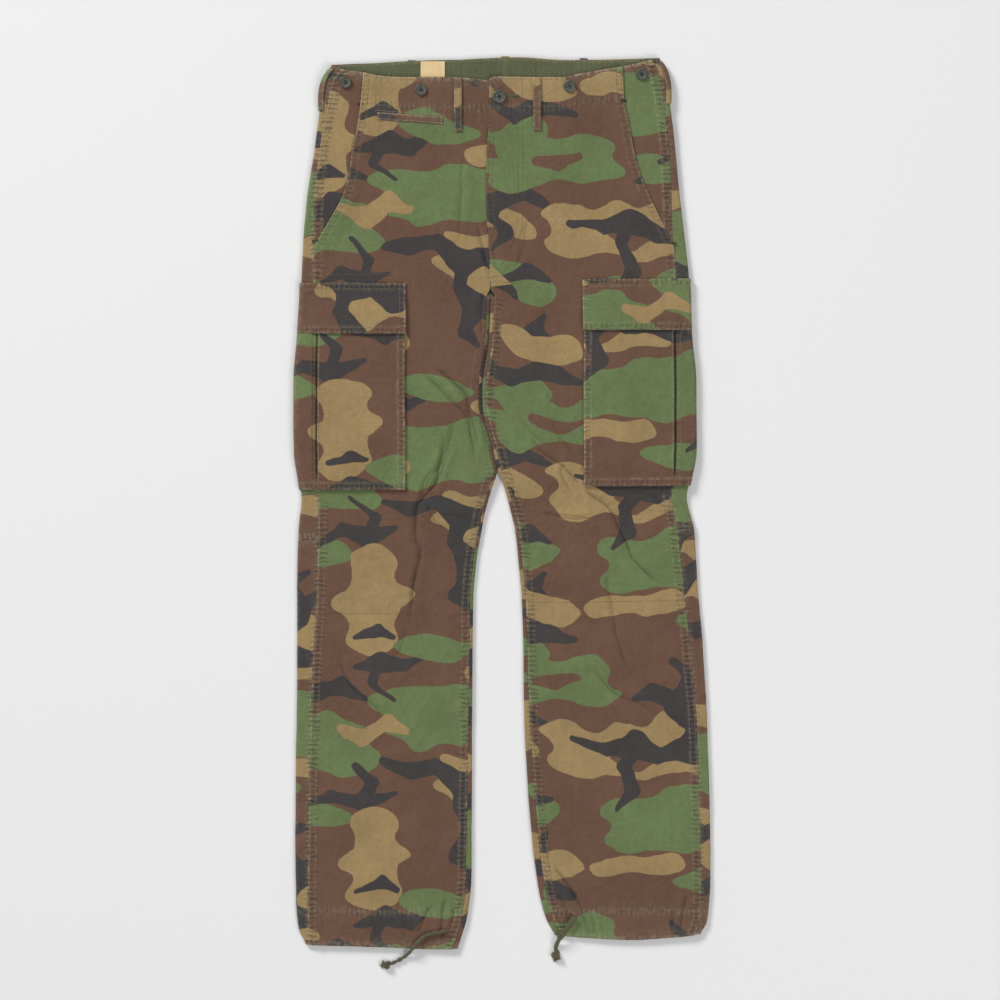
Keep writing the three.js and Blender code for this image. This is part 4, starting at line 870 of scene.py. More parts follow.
def printed(x, y, start, seed=5):
    """The print at real x and y, of a piece whose cut starts there on the roll"""
    x, y = np.broadcast_arrays(np.asarray(x, float), np.asarray(y, float))
    wx = x + start[0] + SWAY[0] * value_noise(x, y, SWAY[2], seed) + FRAY[0] * value_noise(x, y, FRAY[2], seed + 1)
    wy = y + start[1] + SWAY[1] * value_noise(x, y, SWAY[2], seed + 2) + FRAY[1] * value_noise(x, y, FRAY[2], seed + 3)
    layers = {name: np.full(x.shape, REACH) for name in (GREEN, KHAKI, BLACK)}
    columns = range(math.floor(wx.min() / REPEAT_WIDE) - 1, math.ceil(wx.max() / REPEAT_WIDE) + 2)
    rows = range(math.floor(wy.min() / REPEAT_TALL) - 2, math.ceil(wy.max() / REPEAT_TALL) + 2)
    for column in columns:
        odd = column % 2
        for row in rows:
            paint(layers, wx, wy, PRINT, (column * REPEAT_WIDE, (row + odd / 2) * REPEAT_TALL), -1 if odd else 1)
    return layers


def cut_print(half, x, y, start, seed):
    if half is LEFT:
        start = (start[0] + OTHER_HALF[0], start[1] + OTHER_HALF[1])
    return printed(x, y, start, seed)


def front_print(half, x, y):
    return cut_print(half, x, y, FRONT_START, 5)


def back_print(half, x, y):
    """The backs are cut from the same cloth, elsewhere on the roll"""
    return cut_print(half, -x, y, BACK_START, 15)

# ---------------------------------------------------------------------------------------------------------------------
# Cloth finishes
# ---------------------------------------------------------------------------------------------------------------------


def weave_height(m, x, y):
    """Plain weave with a ripstop grid: slubby threads both ways and a thicker one every few millimetres"""
    across = m.noise(1.0, m.place((260, 2400, 400)), detail=2)
    down = m.noise(1.0, m.place((2400, 260, 400)), detail=2)
    threads = m.math("ADD", across, down)

    def thick_thread(axis, pitch):
        cell = m.math("FRACT", m.math("DIVIDE", axis, pitch))
        return m.ramp(m.math("ABSOLUTE", m.math("SUBTRACT", cell, 0.5)), 0.10, 0.02)

    grid = m.math("MAXIMUM", thick_thread(x, 0.0052), thick_thread(y, 0.0052))
    return threads, across, grid


def puckers(m, x, y):
    """Ladders of small puckers where a seam has drawn the cloth up, along y and along x; their pits also darken the
    colour as painted shade
    """
    wander = m.math("MULTIPLY", m.noise(105, detail=3), 9.0)
    uneven = m.ramp(m.noise(95, detail=3), 0.36, 0.62, 0.15, 1.0)

    def ladder(axis, pitch, strength):
        wave = m.math("SINE", m.math("ADD", m.math("MULTIPLY", axis, 2 * math.pi / pitch), wander))
        return m.math("MULTIPLY_ADD", wave, 0.5, 0.5), m.math("MULTIPLY", m.attribute(strength), uneven)

    wave_y, along_y = ladder(y, 0.0058, "ladder_y")
    wave_x, along_x = ladder(x, 0.0062, "ladder_x")
    crest = m.math("ADD", m.math("MULTIPLY", wave_y, along_y), m.math("MULTIPLY", wave_x, along_x))
    pit_y = m.math("MULTIPLY", m.math("SUBTRACT", 1.0, wave_y), along_y)
    pit_x = m.math("MULTIPLY", m.math("SUBTRACT", 1.0, wave_x), along_x)
    return crest, m.math("ADD", pit_y, pit_x)


def cloth_finish(name, printed_cloth, plain=None, worn_tone=tone(186, 172, 146)):
    m = Shader(name)
    xyz = m.node("ShaderNodeSeparateXYZ", {"Vector": m.node("ShaderNodeTexCoord").outputs["Object"]})
    x, y = xyz.outputs[0], xyz.outputs[1]
    threads, across, grid = weave_height(m, x, y)
    crest, pit = puckers(m, x, y)
    if printed_cloth:
        bleed = m.math("MULTIPLY", m.math("SUBTRACT", m.noise(900, detail=3), 0.5), 1.6)
        color = tone(101, 75, 60)
        for layer, shade in (("green", tone(99, 115, 74)), ("khaki", tone(149, 126, 86)), ("black", tone(62, 59, 58))):
            edge = m.math("ADD", m.attribute(layer), bleed)
            color = m.mix(m.ramp(edge, 0.45, -0.45), color, shade)
    else:
        color = plain
    cloudy = m.ramp(m.noise(16, detail=4), 0.3, 0.7, 0.93, 1.07)
    blotch = m.ramp(m.noise(130, detail=4), 0.3, 0.7, 0.95, 1.05)
    slub = m.ramp(across, 0.35, 0.72, 0.93, 1.12)
    streak = m.ramp(m.noise(1.0, m.place((38, 760, 40)), detail=3), 0.62, 0.78, 1.0, 1.10)
    gain = m.math("MULTIPLY", m.math("MULTIPLY", cloudy, blotch), m.math("MULTIPLY", slub, streak))
    gain = m.math("MULTIPLY", gain, m.math("MULTIPLY_ADD", grid, 0.035, 1.0))
    # painted shade in the pits of the seam puckers
    gain = m.math("MULTIPLY", gain, m.math("SUBTRACT", 1.0, m.math("MULTIPLY", pit, 0.40)))
    # painted shade in the crease troughs and in the pocket pleat's slit
    gain = m.math("MULTIPLY", gain, m.math("SUBTRACT", 1.0, m.math("MULTIPLY", m.attribute("fold"), 0.58)))
    color = m.mix(1.0, color, m.node("ShaderNodeCombineColor", {"Red": gain, "Green": gain, "Blue": gain}), "MULTIPLY")
    patchy = m.ramp(m.noise(210, detail=5), 0.42, 0.66)
    fade = m.math("MULTIPLY", m.attribute("wear"), m.math("MULTIPLY_ADD", patchy, 0.85, 0.15))
    fade = m.math("ADD", fade, m.math("MULTIPLY", crest, 0.18))
    color = m.mix(m.math("MULTIPLY", fade, 0.62, clamp=True), color, worn_tone)
    height = m.bump(m.noise(62, detail=5, roughness=0.6), 0.0022, 0.75)
    height = m.bump(m.noise(1.0, m.place((26, 9, 20), turn=0.5), detail=4, roughness=0.6), 0.0045, 0.6, height)
    height = m.bump(m.math("SUBTRACT", crest, pit), 0.0010, 1.0, height)
    height = m.bump(grid, 0.00012, 0.5, height)
    height = m.bump(threads, 0.00022, 0.6, height)
    return m.finish(color, 0.93, height, sheen=0.12, specular=0.12)


PRINTED_CLOTH = cloth_finish("camouflage_ripstop", True)
FACING_CLOTH = cloth_finish("olive_facing_twill", False, tone(88, 91, 66), tone(150, 148, 118))


def label_finish():
    m = Shader("label_satin")
    rib = m.node("ShaderNodeTexWave", {"Vector": m.place(), "Scale": 900, "Distortion": 0.6}, wave_type="BANDS",
                 bands_direction="Y").outputs["Fac"]
    color = m.mix(m.ramp(m.noise(60), 0.3, 0.7), tone(214, 184, 134), tone(226, 200, 154))
    return m.finish(color, 0.6, m.bump(rib, 0.0001, 0.5), sheen=0.1, specular=0.3)


def thread_finish(name, shade, light):
    m = Shader(name)
    twist = m.node("ShaderNodeTexWave", {"Vector": m.place(turn=0.9), "Scale": 2600}, wave_type="BANDS").outputs["Fac"]
    color = m.mix(m.ramp(m.noise(180, detail=3), 0.35, 0.68), shade, light)
    return m.finish(color, 0.8, m.bump(twist, 0.0001, 0.6), sheen=0.1, specular=0.2)


def button_finish():
    m = Shader("button_urea")
    cloud = m.noise(420, detail=4)
    rub = m.ramp(m.noise(1500, detail=3), 0.55, 0.8)
    color = m.mix(m.ramp(cloud, 0.3, 0.7), tone(66, 70, 62), tone(92, 96, 86))
    color = m.mix(m.math("MULTIPLY", rub, 0.25), color, tone(128, 130, 118))
    return m.finish(color, m.ramp(cloud, 0.3, 0.7, 0.38, 0.55), m.bump(cloud, 0.00008, 0.4), specular=0.45)


# near-black finish for painted shadow, where an opening shows only shade
def slit_shadow_finish():
    m = Shader("hole_shadow")
    return m.finish(m.mix(m.noise(900), tone(26, 25, 23), tone(36, 34, 31)), 0.95, specular=0.05)


LABEL_FINISH = label_finish()
THREAD_KHAKI = thread_finish("thread_khaki", tone(122, 110, 78), tone(150, 137, 101))
THREAD_PALE = thread_finish("thread_pale", tone(160, 136, 112), tone(186, 160, 134))
THREAD_GREEN = thread_finish("thread_green", tone(82, 86, 55), tone(112, 113, 77))
THREAD_DARK = thread_finish("thread_dark", tone(48, 48, 42), tone(74, 74, 64))
BUTTON_FINISH = button_finish()
SLIT_SHADOW_FINISH = slit_shadow_finish()

# ---------------------------------------------------------------------------------------------------------------------
# Panels
# ---------------------------------------------------------------------------------------------------------------------
PIECES = {}


def dress(piece, slot, *nodes):
    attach(piece, "root")
    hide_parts(*nodes)
    PIECES[piece.name] = piece
    return piece


def surface_area(piece):
    """The piece's area in square millimetres"""
    areas = np.zeros(len(piece.data.polygons))
    piece.data.polygons.foreach_get("area", areas)
    return float(areas.sum()) / MM / MM


def declare_panel(piece, layers=1):
    """Works out the panel's area and the rectangle that it is cut from; nothing is kept or returned."""
    co = np.zeros(len(piece.data.vertices) * 3)
    piece.data.vertices.foreach_get("co", co)
    co = co.reshape(-1, 3) / MM
    area = surface_area(piece) / layers
    length = float(np.ptp(co[:, 1])) + 4
    width = max(float(np.ptp(co[:, 0])) + 4, area / length * 1.02)
    if area < 0.32 * width * length:
        width = area / length / 0.6


def rows_between(low, high, step):
    return np.linspace(low, high, max(2, int(round((high - low) / step)) + 1))[:, None]


EDGE_INSETS = np.array([0, 0.7, 1.5, 3.2, 5.0, 6.8, 8.4, 9.5, 11.2])
FRONT_MIDDLE = 118


def front_values(half, x, y, read):
    """Wear and puckers of a front panel, from how far each point is from its edges"""
    outer_in = half.front_outer_at(read) - x
    inner_in = x - half.front_inner_at(read)
    top_in = half.front_top_at(x) - y
    hem_in = y - half.hem_at(x)
    below_slash = smooth(SLASH_END_Y - 10, SLASH_END_Y - 30, y)
    open_seam = half.clear_of_pocket(y)
    felled = smooth(12.5, 9.5, outer_in) * below_slash * open_seam
    inseam = wrap_at(read) * (smooth(60, 20, y) if half is RIGHT else smooth(262, 240, y))
    felled = np.maximum(felled, smooth(12, 9, inner_in) * inseam)
    slash = smooth(11, 7, outer_in) * (1 - below_slash)
    fly = smooth(6, 3, inner_in) * (1 - wrap_at(read))
    casing = np.exp(-((y - CASING_Y - 1) / 5.5) ** 2)
    waist_row = np.exp(-((top_in - 36) / 6.0) ** 2)
    top_edge = np.exp(-np.maximum(0, top_in - 1) / 3.5)
    hem_edge = np.exp(-np.maximum(0, hem_in - 1) / 5.0)
    ridges = np.exp(-((outer_in - 0.8) / 0.9) ** 2) + 0.4 * np.exp(-((outer_in - 9.4) / 1.2) ** 2) * np.where(y > SLASH_END_Y, 0.8, open_seam)
    ridges = ridges + (np.exp(-((inner_in - 0.8) / 0.9) ** 2) + 0.35
                       * np.exp(-((inner_in - 9.2) / 1.2) ** 2)) * np.maximum(inseam, 0.25)
    wear = np.clip(0.7 * ridges + 0.75 * top_edge + 0.5 * hem_edge + 0.22 * casing + 0.12 * waist_row, 0, 1)
    return {
        "ladder_y": np.clip(0.8 * felled + 0.4 * slash + 0.25 * fly, 0, 1),
        "ladder_x": np.clip(0.7 * casing + 0.55 * waist_row * smooth(8, 20, outer_in) + 0.3 * top_edge + 0.25
                            * hem_edge, 0, 1),
        "wear": wear,
    }


def under_pocket(half, x, y):
    front, bottom, flap_top = half.pocket["front"], half.pocket["bottom"], half.pocket["flap_top"]
    return smooth(bottom - 12, bottom - 3, y) * smooth(flap_top + 12, flap_top + 3,
                                                       y) * smooth(front - 12, front - 3, x)


def front_height(half, x, y):
    """The front's outer face before its creases, at an outward x"""
    return half.crown_at(x, y) + half.overlap_at(x, y) + half.relief_at(x, y)


def front_creases(half, x, y):
    # the creases and their painted trough shade stop under the pockets
    rise, fold = creases_at(half.side * x, y)
    return rise * (1 - under_pocket(half, x, y)), fold * (1 - under_pocket(half, x, y))


def front_panel(half):
    row = rows_between(HEM_Y, TOP_Y, 1.7)
    read = half.read_y(row)
    start, end = half.front_outer_at(read), half.front_inner_at(read)
    seam_side = start - EDGE_INSETS
    inner_side = (end + EDGE_INSETS)[:, ::-1]
    share = np.linspace(0, 1, FRONT_MIDDLE + 2)[1:-1]
    middle = mix(seam_side[:, -1:], inner_side[:, :1], share)
    x = np.concatenate([seam_side, middle, inner_side], axis=1)
    row, read = np.broadcast_to(row, x.shape), np.broadcast_to(read, x.shape)
    y = half.row_y(row, x, True)
    z = front_height(half, x, read)
    grid = np.stack([half.side * x, y, z], axis=-1)
    values = {**front_print(half, half.side * x, y), **front_values(half, x, y, read)}
    # the creases' rise, and their painted shade in the troughs
    rise, values["fold"] = front_creases(half, x, y)
    grid = settle(grid, 1.0, rise)
    edges = ("first_row", "last_row", "first_column", "last_column")
    for edge in edges:
        grid = turned_edge(grid, edge)
    panel = grid_object(f"{half.name}_front_panel", grid, PRINTED_CLOTH, spread(values, edges), flip=half.side < 0)
    dress(panel, "camouflage_cloth", f"{half.name}_front")
    return panel


def side_panel(half):
    row = rows_between(SLASH_END_Y - 4, TOP_Y, 2.3)
    read = half.read_y(row)
    start = half.outer_at(read) - half.outseam_at(read) - HALF_GAP
    end = half.slash_at(read) - SLASH_LAP
    share = np.concatenate([np.linspace(0, 0.2, 8)[:-1], np.linspace(0.2, 1, 22)])
    x = mix(start, end, share)
    row, read = np.broadcast_to(row, x.shape), np.broadcast_to(read, x.shape)
    y = half.row_y(row, x, True)
    inset = start - x
    ridge = FELL_HEIGHT * smooth(0.4, 1.6, inset) * smooth(11, 9.4, inset)
    grid = np.stack([half.side * x, y, half.crown_at(x, read) + ridge], axis=-1)
    values = cut_print(half, half.side * x, y, SIDE_START, 35)
    top_in = half.front_top_at(x) - y
    values["ladder_y"] = 0.85 * smooth(12, 9.5, inset)
    values["ladder_x"] = 0.25 * np.exp(-np.maximum(0, top_in) / 4)
    values["wear"] = np.clip(0.7 * np.exp(-((inset - 1.2) / 1.3) ** 2) + 0.5 * np.exp(-((inset - 9.4) / 1.4) ** 2)
                             + 0.7 * np.exp(-np.maximum(0, top_in - 1) / 3.5), 0, 1)
    grid = settle(grid)
    edges = ("last_row", "first_column")
    for edge in edges:
        grid = turned_edge(grid, edge)
    panel = grid_object(f"{half.name}_side_piece", grid, PRINTED_CLOTH, spread(values, edges), flip=half.side < 0)
    return dress(panel, "camouflage_cloth", f"{half.name}_side_panel")


def back_grid(half, row):
    """A back panel: over the top from the outseam, round the outer edge, under the leg and round the inner edge"""
    read = half.read_y(row)
    xs, zs, tops = [], [], []

    def put(point, on_top):
        xs.append(np.broadcast_to(point[0], row.shape))
        zs.append(np.broadcast_to(point[1], row.shape))
        tops.append(np.broadcast_to(on_top, row.shape))

    r = half.edge_radius(half.outer_at(read) - EDGE_SAMPLE, read)
    quarter = r * math.pi / 2
    strip = half.outseam_at(read) - HALF_GAP - r
    for share in np.linspace(0, 1, 10):
        put(half.outer_skin(quarter + 0.001 + strip * (1 - share), read, 0), True)
    for share in np.linspace(0, 1, 11)[1:]:
        way = quarter * (1 - 2 * share)
        put(half.outer_skin(way, read, 0), way > 0)
    wrap = wrap_at(read)
    inner_r = half.edge_radius(half.inner_at(read) + EDGE_SAMPLE, read)
    run_in = 12 * (1 - wrap)
    start_x = half.inner_skin(0 * read, read, 0)[0] + run_in
    from_x = half.outer_at(read) - r
    for share in np.linspace(0, 1, 19)[1:]:
        x = mix(from_x, start_x, share)
        put((x, half.underside_at(x, read)), False)
    inset = np.maximum(0, half.inseam_at(read) - inner_r - HALF_GAP)
    total = math.pi * inner_r + inset
    stops = [math.pi * inner_r * share for share in np.linspace(0, 1, 11)[1:]] + [mix(math.pi * inner_r, total,
                                                                                      s) for s in (0.34, 0.67, 1)]
    for stop in stops:
        share = stop / total
        put(half.inner_skin(-run_in * (1 - share) + share * wrap * total, read, 0), share * wrap * total > inner_r
            * math.pi / 2)
    x, z, on_top = (np.concatenate(part, axis=1) for part in (xs, zs, tops))
    row, read = np.broadcast_to(row, x.shape), np.broadcast_to(read, x.shape)
    y = half.row_y(row, x, on_top)
    return np.stack([half.side * x, y, z], axis=-1), read


def back_panel(half, name, node, low, high):
    grid, read = back_grid(half, rows_between(low, high, 2.5))
    x, y, z = half.side * grid[..., 0], grid[..., 1], grid[..., 2]
    values = back_print(half, grid[..., 0], y)
    up = smooth(2, 4, z)
    to_seam = np.abs(half.outer_at(read) - half.outseam_at(read) - x)
    to_inseam = np.abs(x - half.inner_at(read) - half.inseam_at(read))
    to_edge = np.abs(half.outer_at(read) - x)
    knee = np.exp(-((y - half.knee) / 7.0) ** 2)
    hem = np.exp(-np.maximum(0, y - half.hem_at(x) - 1) / 5.0)
    top = np.exp(-np.maximum(0, half.back_top_at(x) - y - 1) / 3.5)
    casing = np.exp(-((y - CASING_Y - 1) / 5.5) ** 2)
    values["ladder_y"] = np.clip(0.55 * up * np.maximum(smooth(6, 2, to_seam), smooth(4, 1, to_inseam)), 0, 1)
    values["ladder_x"] = np.clip(0.7 * knee + 0.6 * casing + 0.2 * hem, 0, 1)
    values["wear"] = np.clip(0.45 * up * np.exp(-to_seam / 2.2) + 0.28 * np.exp(-(to_edge / 2.5) ** 2) + 0.45 * knee
                             + 0.5 * hem
                             + 0.75 * top + 0.2 * casing, 0, 1)
    rise, fold = creases_at(grid[..., 0], y)
    # painted shade in the crease troughs, only where the back faces up
    rise, values["fold"] = rise * up * 0.8 + 0.5 * up * np.exp(-((y - half.knee) / 5.5) ** 2), fold * up
    grid = settle(grid, 1.0, rise)
    panel = grid_object(name, grid, PRINTED_CLOTH, values, flip=half.side < 0)
    return dress(panel, "camouflage_cloth", node)


def pocket_columns(half, row, across, arc_steps, under_steps):
    """Ways round the skin for columns that start on the front, go round the outer edge and run on under the leg"""
    edge = half.outer_at(row)
    r = half.edge_radius(edge - EDGE_SAMPLE, row)
    quarter = r * math.pi / 2
    ways = [quarter + (edge - r - x) for x in across(edge)]
    ways += [quarter * (1 - 2 * s) for s in np.linspace(0, 1, arc_steps + 1)]
    ways += [-quarter - s * POCKET_UNDER for s in np.linspace(0, 1, under_steps + 1)[1:]]
    return np.concatenate([np.broadcast_to(w, row.shape) for w in ways], axis=1), edge


def seam_bumps(distance):
    """A turned and double-stitched edge: a slight rise with two sunk stitch lines"""
    return (0.45 * smooth(10, 7.6, distance) - 0.28 * np.exp(-((distance - 1.9) / 0.7) ** 2)
            - 0.28 * np.exp(-((distance - 7.0) / 0.7) ** 2))


def cargo_pocket(half):
    front, bottom, flap_bottom, pleat = (half.pocket[k] for k in ("front", "bottom", "flap_bottom", "pleat"))
    mouth = flap_bottom - MOUTH_GAP
    row = np.concatenate([rows_between(bottom, mouth, 2.2), [[flap_bottom + 8.0]]])

    def across(edge):
        stops = [0, 0.8, 1.9, 3.2, 5, 7, 8.6, 10.4]
        inner = [front + s for s in stops]
        middle = [mix(front + 12.5, pleat - 9, s) for s in np.linspace(0, 1, 34)]
        # close columns across the pleat, where its slit is painted dark as shade
        fold = [pleat + s for s in (-6.5, -5, -4.2, -3.6, -3.0, -2.2, -1.2, 0, 1.2, 2.2, 3.0, 3.6, 4.2, 5, 6.5)]
        outer = [mix(pleat + 9, edge - 8.5, s) for s in np.linspace(0, 1, 4)]
        return inner + middle + fold + outer

    ways, edge = pocket_columns(half, row, across, 8, 10)
    row = np.broadcast_to(row, ways.shape)
    at = half.outer_skin(ways, row, 0)[0]
    face = (ways > 0).astype(float)
    lap = np.maximum(0.02, face * (1 - smooth(edge - 40, edge - 25, at)))
    y = np.where(row > mouth, mix(mouth, row, lap), row)
    middle = smooth(front, front + 30, at) * smooth(edge - 4, edge - 30, at)
    ends = smooth(bottom, bottom + 30, row) * smooth(mouth, mouth - 40, row)
    opened = smooth(bottom + 6, bottom + 24, row) * face
    into = at - pleat + PLEAT_HALF
    slit = smooth(-0.5, 0.3, into) * smooth(2.9, 1.3, into) * opened
    deep = np.maximum(slit, 0.45 * smooth(-0.5, 0.3, into) * smooth(2 * PLEAT_HALF + 1.2, 2 * PLEAT_HALF - 0.8, into)
                      * opened)
    lips = np.exp(-((into + 1.4) / 1.2) ** 2) * opened
    thick = CLOTH + POCKET_PUFF * middle * ends * face * (1 - deep) + POCKET_BULK * smooth(edge - 3, edge - 10, at) * face * (1 - deep)
    to_edge = np.minimum(at - front, y - bottom)
    sink = seam_bumps(to_edge) * face
    x, z = half.outer_skin(ways, y, SEAM_GAP + thick - deep * 1.5 + 0.5 * lips + sink)
    real_x = half.side * x
    values = cut_print(half, real_x, y, POCKET_START, 45)
    values["ladder_y"] = np.clip(0.5 * smooth(9, 6, at - front) * face + 0.2
                                 * smooth(3, 1, np.abs(at - pleat) - PLEAT_HALF) * face, 0, 1)
    values["ladder_x"] = 0.55 * smooth(10, 6, y - bottom)
    # painted shade in the pleat's slit
    values["fold"] = slit * smooth(2.1, 1.3, into) * 1.6
    lines = np.exp(-((at - front - 0.6) / 1.0) ** 2) * face + np.exp(-((y - bottom - 0.6) / 1.0) ** 2)
    lines = lines + 0.5 * face * (np.exp(-((at - front
                                            - 8.2) / 1.1) ** 2)) + 0.5 * np.exp(-((y - bottom - 8.2) / 1.1) ** 2)
    values["wear"] = np.clip(0.85 * lines + 0.4 * lips + 0.22 * np.exp(-((edge - at) / 3.0) ** 2), 0, 1)
    grid = settle(np.stack([real_x, y, z], axis=-1))
    edges = ("first_row", "first_column")
    for side in edges:
        grid = turned_edge(grid, side, 1.9)
    pocket = grid_object(f"{half.name}_pocket_patch", grid, PRINTED_CLOTH, spread(values, edges), flip=half.side > 0)
    return dress(pocket, "camouflage_cloth", f"{half.name}_cargo_pocket")


def cargo_flap(half):
    front, flap_bottom, flap_top = (half.pocket[k] for k in ("front", "flap_bottom", "flap_top"))
    over = CLOTH + POCKET_BULK + SEAM_GAP
    row = rows_between(flap_bottom, flap_top, 1.8)

    def across(edge):
        inner = [front - 1 + s for s in (0, 0.8, 1.9, 3.2, 5, 7, 8.6, 10.4)]
        return inner + [mix(front + 12, edge - 5, s) for s in np.linspace(0, 1, 50)]

    ways, edge = pocket_columns(half, row, across, 8, 10)
    row = np.broadcast_to(row, ways.shape)
    at = half.outer_skin(ways, row, 0)[0]
    face = (ways > 0).astype(float)
    rides = face * (1 - smooth(edge - 22, edge - 7, at)) * smooth(flap_top - 6, flap_bottom + 12, row)
    distance = np.minimum(np.minimum(at - front + 1, row - flap_bottom), flap_top - row)
    lift = SEAM_GAP + CLOTH + over * rides + seam_bumps(distance) * face
    x, z = half.outer_skin(ways, row, lift)
    real_x = half.side * x
    values = cut_print(half, real_x, row, FLAP_START, 55)
    values["ladder_y"] = 0.35 * smooth(9, 6, at - front + 1) * face
    values["ladder_x"] = np.clip(0.6 * smooth(10, 6, row - flap_bottom) + 0.6 * smooth(9, 6, flap_top - row), 0, 1)
    lines = np.exp(-((at - front + 0.4) / 1.0) ** 2) * face + np.exp(-((row - flap_bottom - 0.6) / 1.0) ** 2)
    lines = lines + 0.7 * np.exp(-((flap_top - row - 0.6) / 1.0) ** 2)
    lines = lines + 0.45 * np.exp(-((row - flap_bottom
                                     - 8.2) / 1.1) ** 2) + 0.45 * np.exp(-((flap_top - row - 8.2) / 1.1) ** 2)
    values["wear"] = np.clip(0.85 * lines + 0.25 * np.exp(-((edge - at) / 3.0) ** 2), 0, 1)
    grid = settle(np.stack([real_x, row, z], axis=-1))
    edges = ("first_row", "last_row", "first_column")
    for side in edges:
        grid = turned_edge(grid, side, 1.8)
    flap = grid_object(f"{half.name}_pocket_flap", grid, PRINTED_CLOTH, spread(values, edges), flip=half.side > 0)
    return dress(flap, "camouflage_cloth", f"{half.name}_cargo_flap")


for half in (RIGHT, LEFT):
    other_pieces = [
        (front_panel(half), [f"{half.name}_back_upper", f"{half.name}_back_lower"]),
        (side_panel(half), [f"{half.name}_back_upper"]),
        (back_panel(half, f"{half.name}_back_panel_upper", f"{half.name}_back_upper", half.knee + HALF_GAP, TOP_Y), []),
        (back_panel(half, f"{half.name}_back_panel_lower", f"{half.name}_back_lower", HEM_Y, half.knee - HALF_GAP), []),
        (cargo_pocket(half), [f"{half.name}_front"]),
        (cargo_flap(half), [f"{half.name}_cargo_pocket"]),
    ]
    for piece, rests_on in other_pieces:
        declare_panel(piece)

# ---------------------------------------------------------------------------------------------------------------------
# Trim
# ---------------------------------------------------------------------------------------------------------------------


class Surface:
    """The finished outer faces of some pieces, to set things down on"""

    def __init__(self, *names):
        points, faces, start = [], [], 0
        for name in names:
            mesh = PIECES[name].data
            co = np.zeros(len(mesh.vertices) * 3)
            mesh.vertices.foreach_get("co", co)
            index = np.zeros(len(mesh.loops), np.int32)
            mesh.loops.foreach_get("vertex_index", index)
            points.append(co.reshape(-1, 3))
            faces.append(index.reshape(-1, 4) + start)
            start += len(mesh.vertices)
        self.tree = BVHTree.FromPolygons(np.concatenate(points).tolist(), np.concatenate(faces).tolist())

    def height(self, x, y, fallback=6.0):
        hit = self.tree.ray_cast(Vector((x * MM, y * MM, 0.1)), Vector((0, 0, -1)))
        return hit[0].z / MM if hit[0] is not None else fallback

    def heights(self, x, y):
        flat = np.array([self.height(a, b, np.nan) for a, b in zip(np.ravel(x), np.ravel(y))])
        if np.isnan(flat).any():
            flat = np.where(np.isnan(flat), np.nanmedian(flat) if not np.isnan(flat).all() else 6.0, flat)
        return flat.reshape(np.shape(x))


FRONTS = Surface("right_front_panel", "left_front_panel", "right_side_piece", "left_side_piece")


def shell_object(name, top, under, material, values=None):
    """A closed piece between two grids of points"""
    rows, columns = top.shape[:2]
    points = np.concatenate([top.reshape(-1, 3), under.reshape(-1, 3)])
    index = np.arange(rows * columns).reshape(rows, columns)
    low = index + rows * columns
    faces = np.stack([index[:-1, :-1], index[:-1, 1:], index[1:, 1:], index[1:, :-1]], -1).reshape(-1, 4).tolist()
    faces += np.stack([low[:-1, :-1], low[1:, :-1], low[1:, 1:], low[:-1, 1:]], -1).reshape(-1, 4).tolist()
    ring = list(index[0, :-1]) + list(index[:-1, -1]) + list(index[-1, :0:-1]) + list(index[:0:-1, 0])
    for a, b in zip(ring, ring[1:] + ring[:1]):
        faces.append((int(b), int(a), int(a) + rows * columns, int(b) + rows * columns))
    corner = points[faces[0]]
    if np.cross(corner[1] - corner[0], corner[2] - corner[0]) @ (points[index.size // 2]
                                                                 - points[index.size // 2 + index.size]) < 0:
        faces = [tuple(reversed(face)) for face in faces]
    piece = mesh_object(name, points, faces, material)
    for key, value in (values or {}).items():
        layer = piece.data.attributes.new(key, "FLOAT", "POINT")
        both = np.concatenate([np.broadcast_to(value, (rows, columns)).reshape(-1)] * 2)
        layer.data.foreach_set("value", both.astype(np.float32))
    return piece


def strip_values(along, aside, width, length, x, y, offset):
    """Print, wear and puckers of a narrow folded strip"""
    values = printed(x, y, (STRIP_START[0] + offset[0], STRIP_START[1] + offset[1]), seed=65)
    edge = width / 2 - np.abs(aside)
    ends = np.minimum(along, length - along)
    values["wear"] = np.clip(0.9 * np.exp(-edge / 0.9) + 0.5 * np.exp(-ends / 2.5) + 0.12, 0, 1)
    values["ladder_y"] = 0.3 * np.exp(-edge / 1.6)
    values["ladder_x"] = 0.0 * along
    return values


def folded_strip(name, node, length, width, thick, hump, place, surface, offset, lift=SEAM_GAP, fold_round=0.35):
    """A strip of cloth laid on a surface. place(along, aside) gives its real x and y."""
    along, aside = np.meshgrid(np.linspace(0, length, max(8, int(length / 1.1))),
                               np.linspace(-width / 2, width / 2, 11), indexing="ij")
    x, y = place(along, aside)
    seat = surface.heights(x, y)
    seat = np.maximum(seat, np.median(seat, axis=1, keepdims=True) - 0.2)
    rise = hump * np.sin(math.pi * along / length)
    rounding = fold_round * (np.abs(aside) / (width / 2)) ** 6 + 0.5 * smooth(1.2, 0, np.minimum(along, length - along))
    top = np.stack([x, y, seat + lift + rise + thick - rounding], -1)
    under = np.stack([x, y, seat + lift + rise], -1)
    values = strip_values(along, aside, width, length, x, y, offset)
    piece = shell_object(name, top, under, PRINTED_CLOTH, values)
    dress(piece, "camouflage_cloth", node)
    return piece


LOOP_WIDTH = 9.5
for loop_name, node_name, loop_x, low, high, offset in (
        ("front_loop_right", "belt_loop_front_right", -54.6, 460, 526.5, (40, 120)),
        ("front_loop_left", "belt_loop_front_left", 43.4, 461, 527.5, (-36, 40))):
    folded_strip(loop_name, node_name, high - low, LOOP_WIDTH, 1.5, 1.0,
                 lambda along, aside, cx=loop_x, cy=low: (cx + aside + 0 * along, cy + along), FRONTS, offset)

